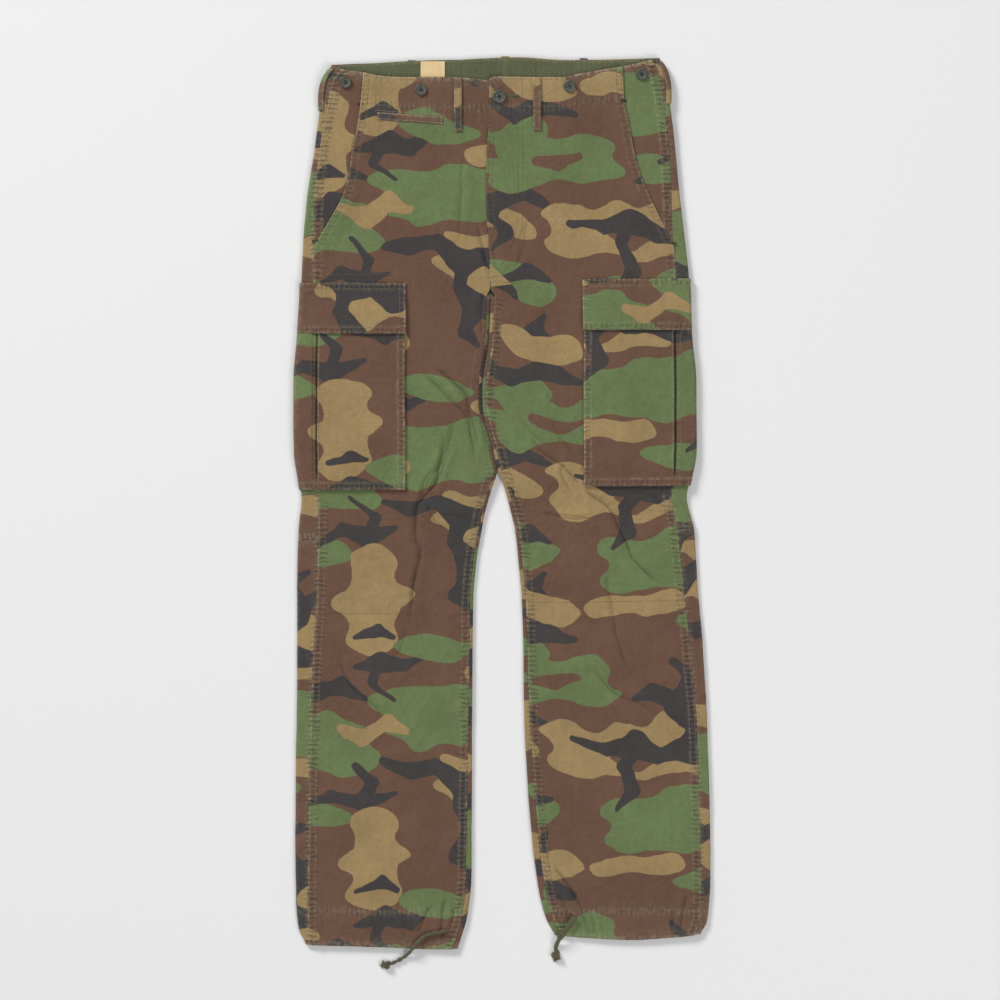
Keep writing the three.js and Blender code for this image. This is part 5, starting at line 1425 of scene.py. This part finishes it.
WELT = {"x": -114, "y": 476.5, "length": 81, "width": 9, "slope": -0.074}


def on_welt(along, aside):
    return WELT["x"] - WELT["length"] / 2 + along, WELT["y"] + (along - WELT["length"] / 2) * WELT["slope"] + aside


folded_strip("coin_pocket_mouth", "coin_pocket_welt", WELT["length"], WELT["width"], 1.2, 0.0, on_welt, FRONTS,
             (300, 300))


def side_loop(half):
    """It bows out round the folded edge, so that a belt can pass."""
    length, bow, arc, wall = 52, 2.6, 6.5, 1.5
    along, way = np.meshgrid(np.linspace(0, length, 48), np.linspace(-arc, arc, 19), indexing="ij")
    y = half.top_y - 5 - along
    out = bow * np.sin(math.pi * along / length)
    near, far = half.outer_skin(way, y, SEAM_GAP), half.outer_skin(way, y, SEAM_GAP + wall)
    grids = [settle(np.stack([half.side * (x + out), y, z], -1), 0.0) for x, z in (far, near)]
    values = strip_values(along, way * 0.8, 2 * arc * 0.8, length, grids[0][..., 0], y, (30 * half.side, 90))
    piece = shell_object(f"side_loop_{half.name}", grids[0], grids[1], PRINTED_CLOTH, values)
    dress(piece, "camouflage_cloth", f"belt_loop_side_{half.name}")


side_loop(RIGHT)
side_loop(LEFT)

for loop_name, node_name, loop_x, low, high in (("back_loop_right", "belt_loop_back_right", -112, 478, 549.2),
                                                ("back_loop_middle", "belt_loop_centre_back", 4, 484, 554),
                                                ("back_loop_left", "belt_loop_back_left", 101, 480, 551.5)):
    along, aside = np.meshgrid(np.linspace(0, high - low, 60), np.linspace(-LOOP_WIDTH / 2, LOOP_WIDTH / 2, 11),
                               indexing="ij")
    dip = 0.3 * (np.abs(aside) / (LOOP_WIDTH / 2)) ** 6
    top = np.stack([loop_x + aside, low + along, 1.5 - dip], -1)
    under = np.stack([loop_x + aside, low + along, 0.0 + dip], -1)
    piece = shell_object(loop_name, top, under, PRINTED_CLOTH,
                         strip_values(along, aside, LOOP_WIDTH, high - low, loop_x + aside, low + along, (60, 60)))
    dress(piece, "camouflage_cloth", node_name)


def back_edge(x):
    return np.where(x > -4, LEFT.back_top_at(x), RIGHT.back_top_at(-x))


def waist_facing():
    x = np.linspace(-203.5, 187.3, 330)[None, :]
    drop = np.concatenate([[0, 0.5, 1.2, 2.2], np.linspace(3.4, 40, 24)])[:, None]
    x, drop = np.broadcast_arrays(x, drop)
    y = back_edge(x) - 1.2 - drop
    seam = 0.45 * np.exp(-((x - 5) / 3.2) ** 2) - 0.5 * np.exp(-((x - 8.6) / 0.7) ** 2)
    puckers = 0.22 * value_noise(x, y * 0.25, 6.5, 71) * smooth(1, 5, drop)
    z = 5.1 - 0.35 * np.exp(-drop / 1.1) + seam + puckers + 0.35 * value_noise(x, y, 38, 72)
    values = {"ladder_x": 0.35 * np.exp(-((drop - 3) / 3) ** 2) + 0.3 * np.exp(-((drop - 15) / 3) ** 2),
              "ladder_y": 0.0 * x,
              "wear": np.clip(0.9 * np.exp(-drop / 1.6) + 0.35 * np.exp(-((x - 5) / 3) ** 2), 0, 1)}
    grid = np.stack([x, y, z], axis=-1)
    grid[..., 0] += drift(x, y, True)
    grid[..., 1] += drift(x, y, False)
    facing = grid_object("back_waist_facing", grid, FACING_CLOTH, values, flip=True)
    dress(facing, "olive_facing_cloth", "waist_facing")
    declare_panel(facing)


waist_facing()


def waist_label():
    left, right, bottom = -101, -71, 518
    top = float(RIGHT.back_top_at(86)) - 1.7
    u, v = np.meshgrid(np.linspace(0, 1, 25), np.linspace(0, 1, 25))
    x, y = mix(left, right, u), mix(bottom, top, v)
    z = 6.1 + 0.25 * np.sin(u * 2.6 + 0.4) * smooth(0, 0.4, v) - 0.2 * smooth(0.97, 1, v)
    label = grid_object("waist_tape_label", turned_edge(np.stack([x, y, z], -1), "last_row", 0.5), LABEL_FINISH)
    dress(label, "label_tape", "waist_label")


waist_label()

# Buttons: turned, with a rounded rim, a dished middle and four holes
BUTTON_THICK = 2.8
BUTTONS = (("waist_button", -3.7, 503.2, 17, 0.2), ("brace_button_side_right", -194.3, 521, 15, 0.5),
           ("brace_button_front_right", -100.6, 512, 15, -0.1), ("brace_button_front_left", 83.7, 516, 15, 0.4),
           ("brace_button_side_left", 173.2, 531, 15, 0.1))
HOLE_RADIUS, HOLE_FROM = 1.0, 1.95


def button_profile(share):
    """Height of the top face from the middle, 0, to the rim, 1"""
    rim = 0.98 * np.sqrt(np.clip(1 - (np.abs(share - 0.83) / 0.17) ** 2.4, 0, 1))
    dish = 0.50 + 0.06 * smooth(0.35, 0.0, share)
    return BUTTON_THICK * np.where(share > 0.83, np.maximum(rim, 0.30),
                                   np.maximum(dish, rim * smooth(0.60, 0.74, share)))


def make_button(name, cx, cy, diameter, turn):
    r = diameter / 2
    seat = max(FRONTS.height(cx + a * r * math.cos(t), cy + a * r * math.sin(t)) for a in (0, 0.5, 0.95)
               for t in np.linspace(0, 2 * math.pi, 16, endpoint=False)) + 0.1
    around = 96
    shares = np.concatenate([np.linspace(0.02, 0.62, 44), np.linspace(0.63, 1.0, 22)])
    angles = np.linspace(0, 2 * math.pi, around, endpoint=False)
    holes = [(HOLE_FROM * math.cos(turn + k * math.pi / 2), HOLE_FROM
              * math.sin(turn + k * math.pi / 2)) for k in range(4)]
    points, faces = [], []
    points.append((cx, cy, seat + float(button_profile(np.array(0.0)))))
    for share in shares:
        for angle in angles:
            px, py = r * share * math.cos(angle), r * share * math.sin(angle)
            pz = float(button_profile(np.array(share)))
            near = min(math.hypot(px - hx, py - hy) for hx, hy in holes)
            pz -= 1.3 * (1 - float(smooth(HOLE_RADIUS - 0.16, HOLE_RADIUS + 0.16, near)))
            points.append((cx + px, cy + py, seat + pz))
    for share, height in ((0.985, 0.16), (0.90, 0.0), (0.5, 0.0)):
        for angle in angles:
            points.append((cx + r * share * math.cos(angle), cy + r * share * math.sin(angle), seat + height
                           * BUTTON_THICK))
    rings = len(shares) + 3
    points.append((cx, cy, seat))
    for j in range(around):
        k = (j + 1) % around
        faces.append((0, 1 + j, 1 + k))
        for ring in range(rings - 1):
            a, b = 1 + ring * around, 1 + (ring + 1) * around
            faces.append((a + j, b + j, b + k, a + k))
        last = 1 + (rings - 1) * around
        faces.append((last + j, len(points) - 1, last + k))
    button = mesh_object(f"{name}_turned", points, faces, BUTTON_FINISH)
    dress(button, "button_resin", name)
    thread_points, thread_faces = [], []
    top = seat + BUTTON_THICK * 0.56
    for first, second, rise in ((0, 2, 0.55), (1, 3, 0.85)):
        for aside in (-0.24, 0.24):
            (ax, ay), (bx, by) = holes[first], holes[second]
            nx, ny = -(by - ay), bx - ax
            n = math.hypot(nx, ny)
            run = [(cx + mix(ax, bx, t) + aside * nx / n, cy + mix(ay, by, t) + aside * ny / n,
                    top - 1.0 + (1.0 + rise) * math.sin(math.pi * t) ** 0.4) for t in np.linspace(0.0, 1.0, 15)]
            start = len(thread_points)
            p, f = tube(run, 0.5, 0.5, 8)
            thread_points += p
            thread_faces += [tuple(start + i for i in face) for face in f]
    threads = mesh_object(f"{name}_thread", thread_points, thread_faces, THREAD_DARK)
    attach(threads, "root")


for spec in BUTTONS:
    make_button(*spec)


def buttonhole():
    """A slit with a worked edge, out from under the waist button"""
    points, faces = [], []
    x0, x1, y0 = 1.5, 19.6, 503.6
    count, sides = 60, []
    for hand in (-1, 1):
        for x in np.linspace(x0, x1, count):
            y = y0 + hand * 1.05
            sides.append((x, y, hand))
    rng = np.random.default_rng(83)
    for x, y, hand in sides:
        z = FRONTS.height(x, y) + 0.12
        reach = 1.25 + 0.2 * rng.uniform(-1, 1)
        run = [(x, y - hand * 0.75, z), (x, y, z + 0.42), (x + 0.05, y + hand * reach * 0.6, z)]
        start = len(points)
        p, f = tube(smooth_path(run, 0.5), 0.36, 0.36, 6)
        points += p
        faces += [tuple(start + i for i in face) for face in f]
    for angle in np.linspace(-1.5, 1.5, 14):
        x, y = x1 + 0.9 * math.cos(angle), y0 + 1.5 * math.sin(angle)
        z = FRONTS.height(x, y) + 0.12
        run = [(x - 0.5 * math.cos(angle), y - 0.5 * math.sin(angle), z), (x, y, z + 0.4),
               (x + 0.9 * math.cos(angle), y + 0.9 * math.sin(angle), z)]
        start = len(points)
        p, f = tube(smooth_path(run, 0.5), 0.36, 0.36, 6)
        points += p
        faces += [tuple(start + i for i in face) for face in f]
    edge = mesh_object("waist_buttonhole_edge", points, faces, THREAD_GREEN)
    # a dark sheet along the slit: painted shadow in the opening
    u, v = np.meshgrid(np.linspace(x0, x1 + 0.4, 24), np.linspace(-0.5, 0.5, 3))
    z = FRONTS.heights(u, v + y0) + 0.1
    slit = grid_object("waist_buttonhole_slit", np.stack([u, v + y0, z], -1), SLIT_SHADOW_FINISH)
    for piece in (edge, slit):
        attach(piece, "root")


buttonhole()


def fork_patch():
    """The corner of the fly's facing that shows at the fork"""
    u, v = np.meshgrid(np.linspace(0, 1, 26), np.linspace(0, 1, 26), indexing="ij")
    left = smooth_path([(-15.3, 295, 0), (-15.2, 282, 0), (-13.5, 267.5, 0)], 1.3)
    right = smooth_path([(-14.8, 295.6, 0), (-1, 282.5, 0), (12.2, 270.5, 0)], 1.3)
    t = np.linspace(0, 1, 26)
    lx, ly = np.interp(t, np.linspace(0, 1, len(left)), left[:, 0]), np.interp(t, np.linspace(0, 1, len(left)),
                                                                               left[:, 1])
    rx, ry = np.interp(t, np.linspace(0, 1, len(right)), right[:, 0]), np.interp(t, np.linspace(0, 1, len(right)),
                                                                                 right[:, 1])
    x, y = mix(lx[:, None], rx[:, None], v), mix(ly[:, None], ry[:, None], v)
    z = FRONTS.heights(x, y) + 0.35
    z = np.minimum(z, np.percentile(z, 70) + 0.5)
    seam = np.abs((x - 3.7) * 0.66 + (y - 286) * 0.75 + 0 * v)
    values = {"green": 0 * x + 20, "black": 0 * x + 20, "khaki": 0 * x - 20, "ladder_x": 0 * x, "ladder_y": 0.3 + 0 * x,
              "wear": np.clip(0.8 * np.exp(-np.minimum(v, 1 - v) * 20) + 0.1 + 0 * seam, 0, 1)}
    grid = np.stack([x, y, z], -1)
    patch = grid_object("fork_corner", grid, PRINTED_CLOTH, values, flip=True)
    dress(patch, "camouflage_cloth", "left_front")
    surface_area(patch)


fork_patch()

# ---------------------------------------------------------------------------------------------------------------------
# Stitching
# ---------------------------------------------------------------------------------------------------------------------


def stitching_tree():
    """Rows of stitches along lines: a small thread lozenge every so often, lying along the line"""
    tree = bpy.data.node_groups.new("rows_of_stitches", "GeometryNodeTree")
    face = tree.interface
    face.new_socket("Geometry", in_out="INPUT", socket_type="NodeSocketGeometry")
    for name, value in (("Pitch", 0.0032), ("Stitch Length", 0.0026), ("Thread", 0.0003)):
        face.new_socket(name, in_out="INPUT", socket_type="NodeSocketFloat").default_value = value
    face.new_socket("Finish", in_out="INPUT", socket_type="NodeSocketMaterial")
    face.new_socket("Geometry", in_out="OUTPUT", socket_type="NodeSocketGeometry")
    make = tree.nodes.new
    join = tree.links.new
    start, end = make("NodeGroupInput"), make("NodeGroupOutput")
    to_curve, resample = make("GeometryNodeMeshToCurve"), make("GeometryNodeResampleCurve")
    resample.mode = "LENGTH"
    lozenge = make("GeometryNodeMeshUVSphere")
    lozenge.inputs["Segments"].default_value = 6
    lozenge.inputs["Rings"].default_value = 4
    lozenge.inputs["Radius"].default_value = 1.0
    size = make("ShaderNodeCombineXYZ")
    half_length = make("ShaderNodeMath")
    half_length.operation = "MULTIPLY"
    half_length.inputs[1].default_value = 0.5
    tangent, turn = make("GeometryNodeInputTangent"), make("FunctionNodeAlignRotationToVector")
    turn.axis = "Z"
    sway = make("FunctionNodeRandomValue")
    sway.data_type = "FLOAT"
    sway_in = {s.name: s for s in sway.inputs if s.enabled}
    sway_in["Min"].default_value, sway_in["Max"].default_value, sway_in["Seed"].default_value = -0.13, 0.13, 7
    swing, swung = make("FunctionNodeAxisAngleToRotation"), make("FunctionNodeRotateRotation")
    swing.inputs["Axis"].default_value = (0, 0, 1)
    place, real = make("GeometryNodeInstanceOnPoints"), make("GeometryNodeRealizeInstances")
    soft, finish = make("GeometryNodeSetShadeSmooth"), make("GeometryNodeSetMaterial")
    join(start.outputs["Geometry"], to_curve.inputs[0])
    join(to_curve.outputs[0], resample.inputs["Curve"])
    join(start.outputs["Pitch"], resample.inputs["Length"])
    join(start.outputs["Thread"], size.inputs["X"])
    join(start.outputs["Thread"], size.inputs["Y"])
    join(start.outputs["Stitch Length"], half_length.inputs[0])
    join(half_length.outputs[0], size.inputs["Z"])
    join(tangent.outputs[0], turn.inputs["Vector"])
    join([s for s in sway.outputs if s.enabled][0], swing.inputs["Angle"])
    join(turn.outputs[0], swung.inputs["Rotation"])
    join(swing.outputs[0], swung.inputs["Rotate By"])
    join(resample.outputs[0], place.inputs["Points"])
    join(lozenge.outputs["Mesh"], place.inputs["Instance"])
    join(swung.outputs[0], place.inputs["Rotation"])
    join(size.outputs[0], place.inputs["Scale"])
    join(place.outputs[0], real.inputs[0])
    join(real.outputs[0], soft.inputs["Mesh" if "Mesh" in soft.inputs else 0])
    join(soft.outputs[0], finish.inputs["Geometry"])
    join(start.outputs["Finish"], finish.inputs["Material"])
    join(finish.outputs[0], end.inputs[0])
    return tree


STITCHING = stitching_tree()


def lay_lines(lines, surface, lift):
    """The lines' points set down on a surface. Each line is a list of (x, y)."""
    out = []
    for line in lines:
        path = smooth_path([(*p, 0) for p in line],
                           1.6) if len(line) > 2 else np.linspace((*line[0], 0), (*line[1], 0), max(
            2, int(math.dist(line[0], line[1]) / 1.6)))
        wave = 0.12 * value_noise(along_path(path), 0 * path[:, 0], 6, 91)
        z = surface.heights(path[:, 0], path[:, 1])
        out.append(np.stack([path[:, 0] + wave, path[:, 1] + wave, z + lift], -1))
    return out


def stitch(name, lines, surface, finish, pitch=3.2, length=2.5, thread=0.30, lift=0.12):
    points, edges = [], []
    for path in lay_lines(lines, surface, lift):
        start = len(points)
        points += [tuple(p * MM) for p in path]
        edges += [(start + i, start + i + 1) for i in range(len(path) - 1)]
    mesh = bpy.data.meshes.new(name + "_lines")
    mesh.from_pydata(points, edges, [])
    guide = link(bpy.data.objects.new(name + "_lines", mesh))
    modifier = guide.modifiers.new("rows", "NODES")
    modifier.node_group = STITCHING
    sockets = {item.name: item.identifier for item in STITCHING.interface.items_tree if item.in_out == "INPUT"}
    modifier[sockets["Pitch"]] = pitch * MM
    modifier[sockets["Stitch Length"]] = length * MM
    modifier[sockets["Thread"]] = thread * MM
    modifier[sockets["Finish"]] = finish
    result = guide.evaluated_get(bpy.context.evaluated_depsgraph_get())
    plain = bpy.data.meshes.new_from_object(result)
    bpy.data.objects.remove(guide)
    plain.name = name
    piece = link(bpy.data.objects.new(name, plain))
    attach(piece, "root")
    return piece


def seam_line(half, inset, low, high, edge="outer", step=9):
    """A row of stitches a set distance in from a front's outer or inner edge"""
    rows = np.arange(low, high + 1, step, dtype=float)
    out = []
    for row in rows:
        read = float(half.read_y(np.array(row)))
        x = float(half.front_outer_at(read)) - inset if edge == "outer" else float(half.front_inner_at(read)) + inset
        y = float(half.row_y(np.array(row), np.array(x), True))
        out.append((half.side * x + float(drift(half.side * x, y, True)), y))
    return out


def top_line(half, inset, x0, x1, step=8):
    xs = np.arange(x0, x1 + 0.1, step)
    return [(half.side * x, float(half.front_top_at(x)) - inset) for x in xs]


def hem_line(half, inset_y, x0, x1, step=8):
    xs = np.arange(x0, x1 + 0.1, step)
    return [(half.side * x, inset_y) for x in xs]


for half in (RIGHT, LEFT):
    bottom, flap_top = half.pocket["bottom"], half.pocket["flap_top"]
    felled = []
    for inset in (2.3, 8.7):
        felled.append(seam_line(half, inset, HEM_Y + 2, bottom - 8))
        felled.append(seam_line(half, inset, flap_top + 4, SLASH_END_Y - 24))
        felled.append(seam_line(half, inset, HEM_Y + 2, 40 if half is RIGHT else 246, "inner"))
    stitch(f"{half.name}_seam_stitching", felled, FRONTS, THREAD_KHAKI, 3.1, 2.3, 0.27)
    slash = [seam_line(half, inset, SLASH_END_Y + 2, TOP_Y - 4, step=6) for inset in (1.9, 8.0)]
    stitch(f"{half.name}_slash_stitching", slash, FRONTS, THREAD_GREEN, 3.1, 2.3, 0.27)

waist_rows = [top_line(RIGHT, 2.0, 6, 168), top_line(RIGHT, 36.0, 22, 166), top_line(RIGHT, 2.0, 176, 206),
              top_line(LEFT, 2.0, -13, 146), top_line(LEFT, 36.0, -10, 146), top_line(LEFT, 2.0, 154, 190)]
stitch("waist_stitching", waist_rows, FRONTS, THREAD_KHAKI, 3.2, 2.4, 0.27)
hem_rows = [hem_line(RIGHT, -508, 46, 246), hem_line(LEFT, -505, 56, 250)]
stitch("hem_stitching", hem_rows, FRONTS, THREAD_KHAKI, 3.2, 2.4, 0.28)
fly_rows = [[(25, 524), (25, 480), (25.5, 430), (26, 380), (25.5, 355), (23, 335), (16, 312), (7, 292), (-2, 281)],
            [(19.5, 500), (19.5, 440), (20, 380), (19, 352), (14, 326), (4, 302), (-6, 287)],
            [(-13.4, 522), (-14.5, 480), (-17, 430), (-17.5, 375), (-14, 320), (-12, 290)],
            [(-7.8, 522), (-9, 480), (-11.4, 430), (-12, 375), (-8.5, 330)]]
stitch("fly_stitching", fly_rows, FRONTS, THREAD_GREEN, 3.1, 2.3, 0.26)
knee_rows = [[(-229, -21), (-208, -23.5), (-170, -24), (-130, -20), (-74, -18), (-28.5, -27)],
             [(-232, -137), (-185, -137.5), (-120, -138), (-68, -138), (-41, -138)],
             [(16, -9), (48, -12), (90, -16), (112, -18), (162, -8), (201, -12), (216, -14)],
             [(30, -124), (80, -124), (140, -123), (190, -122), (226, -122)]]
stitch("knee_stitching", knee_rows, FRONTS, THREAD_DARK, 3.2, 2.3, 0.22, 0.04)
support_rows = [[(-233, 283), (-180, 283), (-110, 284)], [(-110, 288), (-110, 262)], [(-110, 214), (-110, 206)],
                [(171, 280), (200, 280), (213, 279.5)]]
stitch("pocket_support_stitching", support_rows, FRONTS, THREAD_KHAKI, 3.2, 2.3, 0.24, 0.05)


def welt_line(a0, a1, s0, s1):
    return [on_welt(a0, s0), on_welt(a1, s1)]


TRIMMED = Surface("coin_pocket_mouth", "front_loop_right", "front_loop_left", "right_front_panel", "left_front_panel") \
    if all(len(p.vertices) == 4 for n in ("coin_pocket_mouth",
                                          "front_loop_right") for p in PIECES[n].data.polygons) else FRONTS
w, h = WELT["length"], WELT["width"] / 2
coin_rows = [welt_line(1.2, w - 1.2, h - 1.1, h - 1.1), welt_line(1.2, w - 1.2, 1.1 - h, 1.1 - h),
             welt_line(1.2, 1.2, 1.1 - h, h - 1.1),
             welt_line(w - 1.2, w - 1.2, 1.1 - h, h - 1.1), welt_line(w - 9.5, w - 9.5, 1.1 - h, h - 1.1),
             welt_line(-1.6, w + 1.6, h + 2.0, h + 2.0), welt_line(-1.6, w + 1.6, -h - 2.0, -h - 2.0)]
stitch("coin_pocket_stitching", coin_rows, TRIMMED, THREAD_PALE, 2.5, 2.0, 0.30)
loop_rows = []
for loop_x, low, high in ((-54.6, 460, 526.5), (43.4, 461, 527.5)):
    loop_rows += [[(loop_x + s, low + 1), (loop_x + s, high - 1)] for s in (-3.0, 3.0)]
    loop_rows += [[(loop_x - 3.6, low + d), (loop_x + 3.6, low + d)] for d in (1.4, 2.0, 2.6, 3.2)]
stitch("belt_loop_stitching", loop_rows, TRIMMED, THREAD_KHAKI, 2.9, 2.2, 0.28)
tacks = []
for x0, y0, tilt in ((-232, 324, 0.4), (212, 322, -0.4), (150.8, 498, 0.0), (-176, 494, 0.0)):
    tacks += [[(x0 - 3.2, y0 + d), (x0 + 3.2, y0 + d + tilt)] for d in (-1.2, -0.6, 0, 0.6, 1.2)]
stitch("bar_tacks", tacks, FRONTS, THREAD_DARK, 1.6, 1.9, 0.34)

for half in (RIGHT, LEFT):
    pocket = Surface(f"{half.name}_pocket_patch")
    flap = Surface(f"{half.name}_pocket_flap")
    front, bottom, flap_bottom, flap_top = (half.pocket[k] for k in ("front", "bottom", "flap_bottom", "flap_top"))
    side = half.side

    def to_edge(y):
        return float(half.outer_at(y)) - 5

    rows = []
    for inset in (1.9, 7.0):
        rows.append([(side * (front + inset), bottom + inset), (side * (front + inset), flap_bottom - 1)])
        rows.append([(side * (front + inset), bottom + inset), (side * to_edge(bottom + inset), bottom + inset)])
    pleat = half.pocket["pleat"]
    for s in (-PLEAT_HALF - 1.6, PLEAT_HALF + 1.6):
        rows.append([(side * (pleat + s), bottom + 8), (side * (pleat + s), flap_bottom - 3)])
    stitch(f"{half.name}_pocket_stitching", rows, pocket, THREAD_KHAKI, 3.1, 2.3, 0.27)
    rows = []
    for inset in (1.9, 7.0):
        rows.append([(side * (front - 1 + inset), flap_bottom + inset), (side * (front - 1 + inset), flap_top - inset)])
        rows.append([(side * (front - 1 + inset), flap_bottom + inset),
                     (side * to_edge(flap_bottom), flap_bottom + inset)])
        rows.append([(side * (front - 1 + inset), flap_top - inset), (side * to_edge(flap_top), flap_top - inset)])
    stitch(f"{half.name}_flap_stitching", rows, flap, THREAD_KHAKI, 3.1, 2.3, 0.28)
    side_piece = Surface(f"{half.name}_side_piece")
    rows = []
    for inset in (2.3, 8.7):
        line = []
        for y in np.arange(318, 536, 9.0):
            line.append((side * (float(half.outer_at(y) - half.outseam_at(y)) - HALF_GAP - inset), y))
        rows.append(line)
    stitch(f"{half.name}_side_seam_stitching", rows, side_piece, THREAD_GREEN, 3.1, 2.3, 0.27)
    backs = Surface(f"{half.name}_back_panel_upper", f"{half.name}_back_panel_lower")
    rows = []
    for d in (-6.0, -1.6, 2.4):
        y = half.knee + d
        edge = float(half.outer_at(y))
        rows.append([(side * (edge - float(half.outseam_at(y)) + 1.5), y), (side * (edge - 2.5), y)])
    stitch(f"{half.name}_knee_seam_stitching", rows, backs, THREAD_KHAKI, 2.9, 2.2, 0.3)

facing_surface = Surface("back_waist_facing")
facing_rows = [[(x, float(back_edge(np.array(x))) - 1.2 - d) for x in np.arange(a, b, 9.0)] for d, a, b in
               ((2.6, -196, 182), (15.5, -28, 60), (20.5, -66, 60))]
facing_rows += [[(2, 550), (2.4, 516)], [(7.4, 550), (7.8, 516)]]
stitch("facing_stitching", facing_rows, facing_surface, THREAD_KHAKI, 3.2, 2.4, 0.26)
